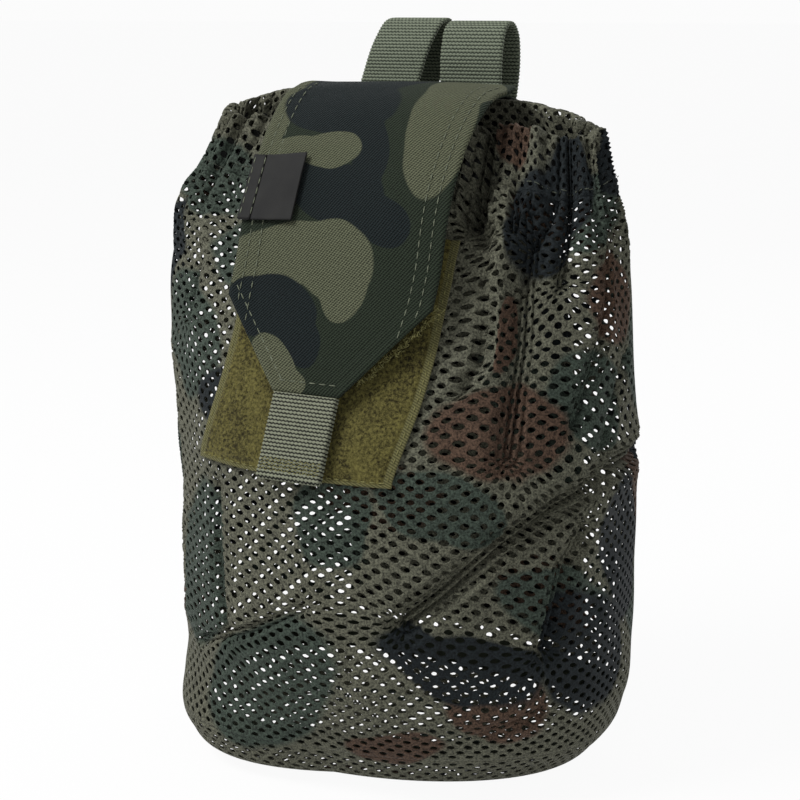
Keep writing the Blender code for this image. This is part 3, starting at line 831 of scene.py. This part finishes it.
loops, across, along = cloth_grid(128, 128)
x = (2 * across - 1) * PILE_HALF
height = PILE_LOW + along * (PILE_HIGH - PILE_LOW)
lay_print(loops, x, along * PILE_RUN)
edge = np.minimum(PILE_HALF - np.abs(x), along * PILE_RUN)
brushed = np.random.default_rng(7).uniform(-0.3, 0.3, len(x)) * eased(edge, SELVAGE, SELVAGE + 0.8)
lift = 0.8 + 0.55 * eased(edge, SELVAGE - 0.3, SELVAGE + 1.0) + brushed
move_to(loops, wall_lifted(height, pile_turn(height, x), lift))
loop_tape = thicken(add_piece("loop_tape", loops, pile_finish, "pouch", "loop_pile", "loop_panel"), 0.6)

olive_thread = thread("olive thread", paint(112, 109, 68))
seam_half, sides, foot = PILE_HALF - 1.6, (PILE_LOW + 1.5, PILE_HIGH), (PILE_LOW + 1.6, PILE_LOW + 1.6)
rows = []
for x_ends, height_ends in (
    ((-seam_half, -seam_half), sides), ((seam_half, seam_half), sides), ((-seam_half, seam_half), foot),
):
    x, height = np.linspace(*x_ends, 160), np.linspace(*height_ends, 160)
    rows.append(wall_row(height, pile_turn(height, x), 1.2, 3.2, 2.4))
stitches("loop_tape_stitches", rows, 0.5, olive_thread, "pouch", "loop_pile")


# Flap
# Printed twill with two cut corners and a plain lining, turned under and topstitched round its
# edges. Its root is sewn to the back panel.
flap_seats = [wall_lifted(np.array(h), np.array(FRONT), np.array(5.6))[1:] for h in (182.0, 165.0, 148.0)]
flap_start = ((31.3, 249.2), (27.0, 250.6), (22.0, 251.2), (16.0, 252.2))
flap_taut = np.array([*flap_start, (10.5, 251.2), (4.0, 245.0), (-15.3, 218.2), *flap_seats])
flap_full = np.array([
    *flap_start, (8.5, 252.2), (0.5, 250.2), (-7.5, 245.6), (-15.5, 237.4), (-22.8, 226.6), (-30.2, 211.5),
    *flap_seats])


def runs_from_axis(line):
    runs = chord_lengths(line)
    return runs - runs[2]


full_runs, taut_runs = runs_from_axis(flap_full), runs_from_axis(flap_taut)
FLAP_ROOT, FLAP_LENGTH = -8.0, full_runs[-1]
CUT_LENGTH, CORNER_HALF, TIP_HALF = 34.0, 40.5, 13.0
FLAP_CORNER = FLAP_LENGTH - CUT_LENGTH
SEAM_INSETS = (4.6, 9.2)
taut_runs[3:] *= FLAP_LENGTH / taut_runs[-1]


def flap_middle(run, x):
    """Middle layer of the closed flap, as y and z: drawn down on its left, and full on its right."""
    fullness = np.interp(x, (-38.0, 20.0), (0.4, 0.88))[..., None]
    full, taut = smooth_through(full_runs, flap_full, run), smooth_through(taut_runs, flap_taut, run)
    return fullness * full + (1 - fullness) * taut


def flap_point(run, x, lift):
    """Points on the closed flap at a run from its axis, lifted off its middle layer."""
    run, x, lift = np.broadcast_arrays(*(np.asarray(each, float) for each in (run, x, lift)))
    forward = flap_middle(run + 0.3, x) - flap_middle(run - 0.3, x)
    forward /= np.linalg.norm(forward, axis=-1, keepdims=True)
    y, z = np.moveaxis(flap_middle(run, x), -1, 0)
    droop = 2.2 * np.abs(x / 44) ** 3 * eased(run, 2, 12) * (1 - eased(run, 28, 50))
    drift = -1.8 * eased(run, 4, 20) * (1 - eased(run, 60, 95))
    return np.stack((x + drift, y + lift * forward[..., 1], z - lift * forward[..., 0] - droop), axis=-1)


def flap_half_width(run):
    runs = (FLAP_ROOT, -2.0, 7.0, FLAP_CORNER, FLAP_LENGTH)
    return np.interp(run, runs, (29.0, 39.5, 44.2, CORNER_HALF, TIP_HALF))


def flap_grid(start, end, inset, columns, long_rows, cut_rows):
    """Grid of flap cloth with a row on the corner where the cuts begin: mesh, x and run."""
    mesh, across, along = cloth_grid(columns, long_rows + cut_rows)
    sides, cuts = np.linspace(start, FLAP_CORNER, long_rows + 1), np.linspace(FLAP_CORNER, end, cut_rows + 1)
    steps = np.concatenate((sides, cuts[1:]))
    run = np.interp(along * (long_rows + cut_rows), np.arange(len(steps)), steps)
    return mesh, (1 - 2 * across) * (flap_half_width(run) - inset), run


flap_under_olive = ((-43, 30, 36, 8.0, 90),)
flap_navy = (
    (-14.5, 26, 26, 15, 12), (4.5, 46.3, 16.4, 7.2, 66), (-2.7, 65.7, 18.8, 12.2, 13),
    (16.5, 75.7, 12.7, 8.2, 24), (-12, 8, 27, 13, 0), (-18, 60, 14, 9, 0),
)
flap_olive = (
    (-11.6, 47.4, 13.8, 7.0, 2), (-31, 46.5, 14, 5.5, 0), (30.4, 39.6, 28, 13, 83), (31, 15, 14, 12, 0),
    (-16, 88.2, 27, 11, -2), (0, 89.6, 15.9, 13.5, 30), (5.5, 100.3, 11.8, 8.3, 87), (-36, 93, 10, 9, 0),
)
flap_bite = ((-21, 109.5, 18, 12.4, 6), (-7, 119.5, 11.4, 7.5, 48), (-33, 110.5, 8, 12, 0))
flap_tip_olive = ((-16, 128, 12.2, 7, 38), (-9, 136, 8, 6, 0))
flap_finish = twill("flap twill", TWILL_GREEN, (
    (TWILL_OLIVE, flap_under_olive), (TWILL_NAVY, flap_navy), (TWILL_OLIVE, flap_olive),
    (TWILL_NAVY, flap_bite), (TWILL_OLIVE, flap_tip_olive)))
outer, x, run = flap_grid(FLAP_ROOT, FLAP_LENGTH, 0.0, 56, 84, 26)
lay_print(outer, x, run)
edge = np.minimum(flap_half_width(run) - np.abs(x), FLAP_LENGTH - run)
wave = 0.35 * np.sin(run / 13 + 0.6) * np.sin(x / 15 + 0.4) * eased(edge, 0, 12)
seam_dip = sum(-0.22 * np.exp(-(((edge - inset) / 0.9) ** 2)) for inset in SEAM_INSETS)
move_to(outer, flap_point(run, x, 0.85 + wave + seam_dip * eased(run, 6, 10) - 0.25 * eased(edge, 1.6, 0.0)))
flap_cloth = add_piece("flap_cloth", outer, flap_finish, None, "flap_cloth", "flap_outer")
thicken(flap_cloth, 1.0)
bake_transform(flap_cloth)

lining_finish, tree, shader = new_finish("flap lining", 0.8, 0.02)
woven(tree, shader, paint(52, 60, 48), 0.0008, 0.0002)
under, x, run = flap_grid(0.0, FLAP_LENGTH - 1.5, 1.5, 30, 50, 12)
lay_print(under, x, run)
move_to(under, flap_point(run, x, -0.65))
lining = thicken(add_piece("lining", under, lining_finish, "flap", "flap_lining", "flap_lining"), 0.9)


STITCH_PITCH, STITCH_LENGTH = 4.0, 3.1


def flap_row(corners):
    """Row of stitches on the flap through corners given as (x, run)."""
    corners = np.array(corners, float)
    at = np.linspace(0.0, 1.0, 240) * chord_lengths(corners)[-1]
    x, run = (np.interp(at, chord_lengths(corners), corners[:, k]) for k in range(2))
    line = flap_point(run, x, 1.38)
    return sewn_row(line, flap_point(run, x, 2.38) - line, STITCH_PITCH, STITCH_LENGTH)


def cut_run(x):
    """Run at which the cut corner has this half width."""
    return FLAP_CORNER + (CORNER_HALF - abs(x)) / (CORNER_HALF - TIP_HALF) * CUT_LENGTH


rows = []
for side in (-1.0, 1.0):
    for inset in SEAM_INSETS:
        foot = CORNER_HALF - inset
        corners = ((44.0 - inset, 9.0), (foot, FLAP_CORNER), (foot - 0.8, cut_run(foot) - 1.5))
        rows.append(flap_row([(side * x, run) for x, run in corners]))
rows.append(flap_row(((-38.2, FLAP_CORNER - 4.0), (-11.0, FLAP_LENGTH - 5.0))))
rows.append(flap_row(((-12.0, FLAP_LENGTH - 4.0), (13.0, FLAP_LENGTH - 4.0))))
stitches("flap_stitches", rows, 0.45, pale_thread, "flap", "flap_cloth")


# Hook patch
# The hook half of the closure, sewn under the flap's tip: a woven ground with rows of small bent
# hooks, which catch the loop panel's pile. Its edge shows as a fringe beside the cut corner.
hook_finish, tree, shader = new_finish("hook tape", 0.6, 0.02)
mottle = noise(tree, own_place(tree), 700.0, 2.0)["Fac"]
tone = mixed(tree, ranged(tree, mottle, 0.35, 0.65), paint(34, 34, 18), paint(98, 96, 62))
tree.links.new(tone, shader.inputs["Base Color"])
ground, x, run = flap_grid(FLAP_LENGTH - 42.0, FLAP_LENGTH - 4.0, 4.0, 30, 6, 12)
lay_print(ground, x, run)
move_to(ground, flap_point(run, x, -1.75))
hook_ground = add_piece("hook_ground", ground, hook_finish, "flap", "hook_tape", "flap_hook_patch")
thicken(hook_ground, 0.5)
HOOK_PITCH = 1.9
bm = bmesh.new()
for row, run in enumerate(np.arange(FLAP_LENGTH - 40.5, FLAP_LENGTH - 5.0, HOOK_PITCH)):
    reach = float(flap_half_width(run)) - 5.0
    for x in np.arange(-reach + 0.5 * HOOK_PITCH * (row % 2), reach, HOOK_PITCH):
        foot, tip = flap_point(run, x, -1.95), flap_point(run + 0.5, x, -3.0)
        middle = Vector(0.5 * (foot + tip)) * MM
        lean = Vector(tip - foot).to_track_quat("Z", "X").to_matrix().to_4x4()
        bmesh.ops.create_cone(
            bm, cap_ends=True, segments=5, radius1=0.22 * MM, radius2=0.12 * MM, depth=1.15 * MM,
            matrix=Matrix.Translation(middle) @ lean)
add_piece("hooks", mesh_of(bm, "hooks"), hook_finish, "flap", "hook_tape")
fuzz = bmesh.new()
chance = np.random.default_rng(3)
for run in np.arange(FLAP_CORNER - 2.0, FLAP_LENGTH - 6.0, 0.38):
    x = float(flap_half_width(run)) + chance.uniform(-0.6, 2.6)
    edge = flap_point(run, x, chance.uniform(-2.9, -1.0))
    lean = Vector(chance.normal(size=3)).to_track_quat("Z", "X").to_matrix().to_4x4()
    radius = chance.uniform(0.6, 1.2) * MM
    bm = bmesh.new()
    ring = bmesh.ops.create_circle(bm, cap_ends=True, segments=4, radius=0.16 * MM)["verts"]
    bmesh.ops.rotate(bm, verts=ring, cent=(0, 0, 0), matrix=Matrix.Rotation(0.5 * math.pi, 3, "X"))
    bmesh.ops.translate(bm, verts=ring, vec=(radius, 0, 0))
    bend = chance.uniform(2.6, 4.6)
    bmesh.ops.spin(bm, geom=bm.faces[:], cent=(0, 0, 0), axis=(0, 0, 1), angle=bend, steps=6)
    bmesh.ops.transform(bm, matrix=Matrix.Translation(Vector(edge) * MM) @ lean, verts=bm.verts)
    bmesh.ops.recalc_face_normals(bm, faces=bm.faces)
    curl = mesh_of(bm, "curl")
    fuzz.from_mesh(curl)
    bpy.data.meshes.remove(curl)
add_piece("hook_fringe", mesh_of(fuzz, "fringe"), olive_thread, "flap", "hook_tape")


# Side label
# A plain black woven label, folded double, with its raw end caught under the flap's topstitching.
# The tail is loose and lifts about that seam.
LABEL_RUN, LABEL_EDGE, LABEL_SEAM, LABEL_END = (50.0, 76.5), -42.7, -37.0, -19.2
LABEL_LIFT, LABEL_CLOTH, LABEL_LENGTH = 2.4, 0.8, 27.0
label_finish, tree, shader = new_finish("label weave", 0.55, 0.02)
u, v, _ = add_node(tree, "ShaderNodeSeparateXYZ", {0: cloth_measures(tree)}).outputs
satin_turn = math_node(tree, "MULTIPLY", math_node(tree, "ADD", u, v), 2 * math.pi / 0.0006)
satin = math_node(tree, "SINE", satin_turn)
dust = noise(tree, own_place(tree), 120.0, 4.0)["Fac"]
tone = mixed(tree, ranged(tree, dust, 0.35, 0.7), paint(25, 25, 25), paint(33, 33, 32))
surface(tree, shader, shaded(tree, tone, ranged(tree, satin, -1.0, 1.0, 0.85, 1.15)), satin, 0.3, 0.0001)


def label_point(x, along, lift):
    """Points on the label, straight from its top to its foot, lifted off its middle."""
    top, foot = (flap_point(run, x, LABEL_LIFT + 0.45 + lift) for run in LABEL_RUN)
    return top + (foot - top) * along[:, None]


tail, across, along = cloth_grid(24, 28)
x = LABEL_END + (LABEL_SEAM - LABEL_END) * across
lay_print(tail, x, along * LABEL_LENGTH)
curl = 0.9 * eased(1 - across, 0.2, 1.0) + 0.25 * np.sin(5 * along) * eased(1 - across, 0.3, 1.0)
move_to(tail, label_point(x, along, curl))
label_tail = add_piece("label_tail", tail, label_finish, None, "label_weave", "side_label")
thicken(label_tail, LABEL_CLOTH)
softened = label_tail.modifiers.new("folded edge", "BEVEL")
softened.width = 0.25 * MM
softened.segments = 2
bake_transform(label_tail)
end, across, along = cloth_grid(6, 28)
x = (LABEL_SEAM - 0.5) + (LABEL_EDGE - LABEL_SEAM + 0.5) * across
lay_print(end, x, along * LABEL_LENGTH)
move_to(end, label_point(x, along, -0.15 * np.ones(len(x))))
label_end = add_piece("label_end", end, label_finish, "flap", "label_weave", "label_sewn_end")
thicken(label_end, LABEL_CLOTH)
rows = []
at = np.linspace(0.02, 0.98, 60)
for x in (LABEL_EDGE + 0.8, LABEL_SEAM - 0.5):
    line, above = (label_point(np.full(len(at), x), at, np.full(len(at), lift)) for lift in (0.3, 1.3))
    rows.append(sewn_row(line, above - line, STITCH_PITCH, STITCH_LENGTH))
stitches("label_stitches", rows, 0.45, pale_thread, "flap", "label_weave")


# Pull tab
# A short length of 25 mm ribbed webbing, folded double and sewn under the flap's tip.
# It gives the hand something to pull to part the hooks from the pile.
WEBBING_WIDTH, RIB_PITCH = 25.0, 1.32
TAB_DROP, TAB_HALF = 26.0, 0.8


def webbing(name, line, thickness, finish, body, slot, node, bar=()):
    """Ribbed webbing along a line of (x, y, z) middles: ribs across it, and scalloped edges."""
    runs = chord_lengths(np.array(line))
    ribs = round(runs[-1] / RIB_PITCH)
    mesh, across, along, face = double_cloth(24, 6 * ribs)
    at = along * runs[-1]
    middle, ahead, behind = (smooth_through(runs, line, at + step) for step in (0.0, 0.2, -0.2))
    out = np.cross(ahead - behind, (1.0, 0.0, 0.0))
    out /= np.linalg.norm(out, axis=1, keepdims=True)
    rib = np.cos(2 * math.pi * ribs * along)
    sewn = np.zeros(len(at))
    for low, high in bar:
        sewn = np.maximum(sewn, eased(at, low - 0.5, low) * (1 - eased(at, high, high + 0.5)))
    side = 2 * across - 1
    x = (0.5 * WEBBING_WIDTH - 0.1 + 0.1 * rib * eased(np.abs(side), 0.9, 1.0)) * side
    lay_print(mesh, x, at * (RIB_PITCH * ribs / runs[-1]))
    push = 0.5 * thickness + 0.12 * rib * (1 - 0.7 * sewn) - 0.2 * eased(np.abs(side), 0.9, 1.0)
    move_to(mesh, middle + (face * push)[:, None] * out + np.stack((x, 0 * x, 0 * x), axis=-1))
    face_outward(mesh)
    piece = add_piece(name, mesh, finish, body, slot, node)
    return piece


def webbing_finish(name, light, groove_shade):
    """Ribbed webbing: pale weft floats on the ribs, in short dashes, and painted shade in the grooves between
    them.
    """
    made, tree, shader = new_finish(name, 0.65, 0.02)
    u, v, _ = add_node(tree, "ShaderNodeSeparateXYZ", {0: cloth_measures(tree)}).outputs
    turn = math_node(tree, "MULTIPLY", v, 2 * math.pi / (RIB_PITCH * MM))
    rib = math_node(tree, "COSINE", turn)
    rib_number = math_node(tree, "ROUND", math_node(tree, "DIVIDE", v, RIB_PITCH * MM))
    stagger = math_node(tree, "MULTIPLY", rib_number, math.pi)
    dash_turn = math_node(tree, "MULTIPLY", u, 2 * math.pi / 0.0015)
    dash = math_node(tree, "COSINE", math_node(tree, "ADD", dash_turn, stagger))
    float_share = math_node(tree, "ADD", rib, math_node(tree, "MULTIPLY", dash, 0.6))
    wear = math_node(tree, "MULTIPLY_ADD", noise(tree, own_place(tree), 900.0, 3.0)["Fac"], 1.2, -0.6)
    share = math_node(tree, "ADD", float_share, wear)
    # Between the ribs the colour goes to the second colour, which is painted shade for the grooves; the
    # dashes and the wear noise are the webbing's own.
    surface(tree, shader, mixed(tree, ranged(tree, share, -0.75, 0.5), groove_shade, light), dash, 0.4, 0.00015)
    return made


# The second colour, near black, is painted shade for the grooves between the ribs.
tab_finish = webbing_finish("tab webbing", paint(128, 131, 112), paint(10, 11, 8))
tip = flap_full[-1]
down = tip - smooth_through(full_runs, flap_full, FLAP_LENGTH - 1.0)
down /= np.linalg.norm(down)
tab_top = tip + 1.9 * down
tab_foot = wall_lifted(np.array(tab_top[1] - TAB_DROP), np.array(FRONT), np.array(5.2))[1:]
tab_length = np.linalg.norm(tab_foot - tab_top)
tab_along = (tab_foot - tab_top) / tab_length
tab_out = np.array((tab_along[1], -tab_along[0]))
front_leg = [tab_top + (tab_foot - tab_top) * at + TAB_HALF * tab_out for at in np.linspace(-0.06, 1.0, 10)]
bends = np.linspace(0.0, math.pi, 7)[1:-1]
turned_leg = [tab_foot + TAB_HALF * (tab_out * math.cos(bend) + tab_along * math.sin(bend)) for bend in bends]
rear_leg = [point - 2 * TAB_HALF * tab_out for point in reversed(front_leg)]
tab_line = [(0.0, *point) for point in (*front_leg, *turned_leg, *rear_leg)]
webbing(
    "tab_webbing", tab_line, 1.0, tab_finish, "tab", "tab_webbing", "pull_tab",
    bar=((21.6, 25.1),))
rows = []
x = np.linspace(-11.6, 11.6, 60)
for drop in (21.8, 23.0, 24.2, 25.4):
    spot = tab_top + (tab_foot - tab_top) * drop / tab_length + 1.5 * tab_out
    zigzag = 0.4 * np.sin(2 * math.pi * x / 2.4)[:, None] * np.array((0.0, *tab_along))
    line = np.concatenate((x[:, None], np.tile(spot, (60, 1))), axis=1) + zigzag
    rows.append(sewn_row(line, np.tile((0.0, *tab_out), (60, 1)), 1.3, 1.2))
stitches("tab_stitches", rows, 0.42, olive_thread, "tab", "tab_webbing")


# Anchor band
# A strip of the back panel's cloth across the top of the back, box stitched over the ends of
# both belt loops.
BAND_LOW, BAND_HIGH, BAND_HALF, BAND_LIFT = 208.0, 223.0, 36.0, 2.6
BAND_WIDTH = BAND_HIGH - BAND_LOW
band_finish, tree, shader = new_finish("band cloth", 0.8, 0.02)
woven(tree, shader, paint(50, 58, 44), 0.0009, 0.00025)
strip, across, along = cloth_grid(48, 14)
x = (1 - 2 * across) * BAND_HALF
height = BAND_LOW + along * BAND_WIDTH
lay_print(strip, x, along * BAND_WIDTH)
edge = np.minimum(np.minimum(along, 1 - along) * BAND_WIDTH, BAND_HALF - np.abs(x))
move_to(strip, wall_lifted(height, turn_at(height, x, True), BAND_LIFT + 0.7 - 0.3 * eased(edge, 1.5, 0.0)))
anchor = add_piece("anchor_band", strip, band_finish, "pouch", "band_cloth", "loop_anchor_band")
thicken(anchor, 1.1)
box = ((-10, 210), (10, 210), (10, 221), (-10, 221), (-10, 210), (10, 221), (10, 210), (-10, 221))
rows = []
for middle in (-18.0, 18.0):
    for (x0, h0), (x1, h1) in zip(box[:-1], box[1:]):
        x, height = middle + np.linspace(x0, x1, 40), np.linspace(h0, h1, 40)
        rows.append(wall_row(height, turn_at(height, x, True), BAND_LIFT + 1.3, 2.6, 2.0))
stitches("band_stitches", rows, 0.5, pale_thread, "pouch", "band_cloth")


# Belt loops
# Two loops of the same 25 mm webbing that take a belt. Both ends of each are sewn under the
# anchor band, and the left one leans further back.
LOOP_LINE = np.array((
    (-1.1, 0.5), (-1.2, 14.0), (-0.9, 27.0), (0.0, 40.0), (3.4, 47.4), (8.9, 49.0),
    (13.4, 45.6), (15.4, 36.0), (13.6, 24.0), (8.0, 11.0), (1.1, 0.5),
))
# The second colour is painted shade for the grooves between the ribs, lighter here than on the tab.
loop_finish = webbing_finish("belt loop webbing", paint(120, 127, 109), paint(46, 52, 43))
seam = wall_lifted(np.array(225.8), np.array(BACK), np.array(4.6))
loop_runs = chord_lengths(LOOP_LINE)
loop_shape = smooth_through(loop_runs, LOOP_LINE, np.linspace(0.0, loop_runs[-1], 40))
for name, x, lean, slant, tall in (("left", -22.0, 12.0, 9.5, 1.045), ("right", 18.0, 0.0, 0.0, 0.97)):
    c, s = math.cos(math.radians(lean)), math.sin(math.radians(lean))
    behind, above = loop_shape.T * ((1.0,), (tall,))
    sideways = x + slant * (above / above.max()) ** 1.6
    line = np.stack((sideways, seam[1] + behind * c + above * s, seam[2] + above * c - behind * s), axis=-1)
    webbing(
        name + "_loop_webbing", line[::-1], 1.3, loop_finish, name + "_loop", "belt_loop_webbing",
        name + "_belt_loop")


# Floor, light and camera
# A pale floor that reads white and keeps a soft shadow, one large soft lamp high on the left, a
# weaker one on the right, and the camera a little above the pouch and to its right.
bm = bmesh.new()
bmesh.ops.create_grid(bm, x_segments=1, y_segments=1, size=30.0)
floor = bpy.data.objects.new("floor", mesh_of(bm, "floor"))
bpy.context.collection.objects.link(floor)
floor.data.transform(Matrix.Translation((0.0, 0.0, -0.0003)))


def seen_directly(tree):
    """1 for what the camera sees, straight, mirrored or through glass."""
    path = add_node(tree, "ShaderNodeLightPath", {})
    return math_node(
        tree, "MAXIMUM", path.outputs["Is Camera Ray"],
        math_node(tree, "MAXIMUM", path.outputs["Is Glossy Ray"], path.outputs["Is Transmission Ray"]))


paper = bpy.data.materials.new("pale floor")
paper.use_nodes = True
tree = paper.node_tree
shader = tree.nodes["Principled BSDF"]
shader.inputs["Base Color"].default_value = (0.92, 0.92, 0.92, 1.0)
shader.inputs["Roughness"].default_value = 0.9
glow = add_node(tree, "ShaderNodeEmission", {"Color": (1.0, 1.0, 1.0, 1.0), "Strength": 1.0})
share = math_node(tree, "MULTIPLY", seen_directly(tree), 0.94)
both = add_node(tree, "ShaderNodeMixShader", {0: share, 1: shader.outputs[0], 2: glow.outputs[0]})
tree.links.new(both.outputs[0], tree.nodes["Material Output"].inputs["Surface"])
floor.data.materials.append(paper)

world = bpy.data.worlds.new("studio")
world.use_nodes = True
bpy.context.scene.world = world
tree = world.node_tree
tree.nodes["Background"].inputs["Color"].default_value = (0.95, 0.97, 1.0, 1.0)
tree.nodes["Background"].inputs["Strength"].default_value = 0.3
white = add_node(tree, "ShaderNodeBackground", {"Color": (0.97, 0.97, 0.97, 1.0), "Strength": 1.0})
both = add_node(tree, "ShaderNodeMixShader", {
    0: seen_directly(tree), 1: tree.nodes["Background"].outputs[0], 2: white.outputs[0]})
tree.links.new(both.outputs[0], tree.nodes["World Output"].inputs["Surface"])

LOOK_AT = Vector((0.002, 0.0075, 0.136))
for name, place, size, power in (
    ("key", (-0.56, -0.68, 1.15), 0.5, 15.5),
    ("fill", (0.95, -0.6, 0.5), 0.9, 1.5),
    ("rear", (0.1, 0.9, 0.9), 0.8, 2.5),
):
    lamp = bpy.data.lights.new(name, "AREA")
    lamp.size = size
    lamp.energy = power
    holder = bpy.data.objects.new(name, lamp)
    holder.location = place
    holder.rotation_euler = (LOOK_AT - Vector(place)).to_track_quat("-Z", "Y").to_euler()
    bpy.context.collection.objects.link(holder)

bpy.context.scene.view_settings.view_transform = "Standard"
AZIMUTH, ELEVATION, DISTANCE = math.radians(28.0), math.radians(13.0), 0.64
eye = bpy.data.objects.new("camera", bpy.data.cameras.new("camera"))
eye.data.lens = 76.5
eye.data.sensor_width = 36.0
eye.location = LOOK_AT + DISTANCE * Vector((
    math.sin(AZIMUTH) * math.cos(ELEVATION), -math.cos(AZIMUTH) * math.cos(ELEVATION), math.sin(ELEVATION)))
eye.rotation_euler = (LOOK_AT - eye.location).to_track_quat("-Z", "Y").to_euler()
bpy.context.collection.objects.link(eye)
bpy.context.scene.camera = eye
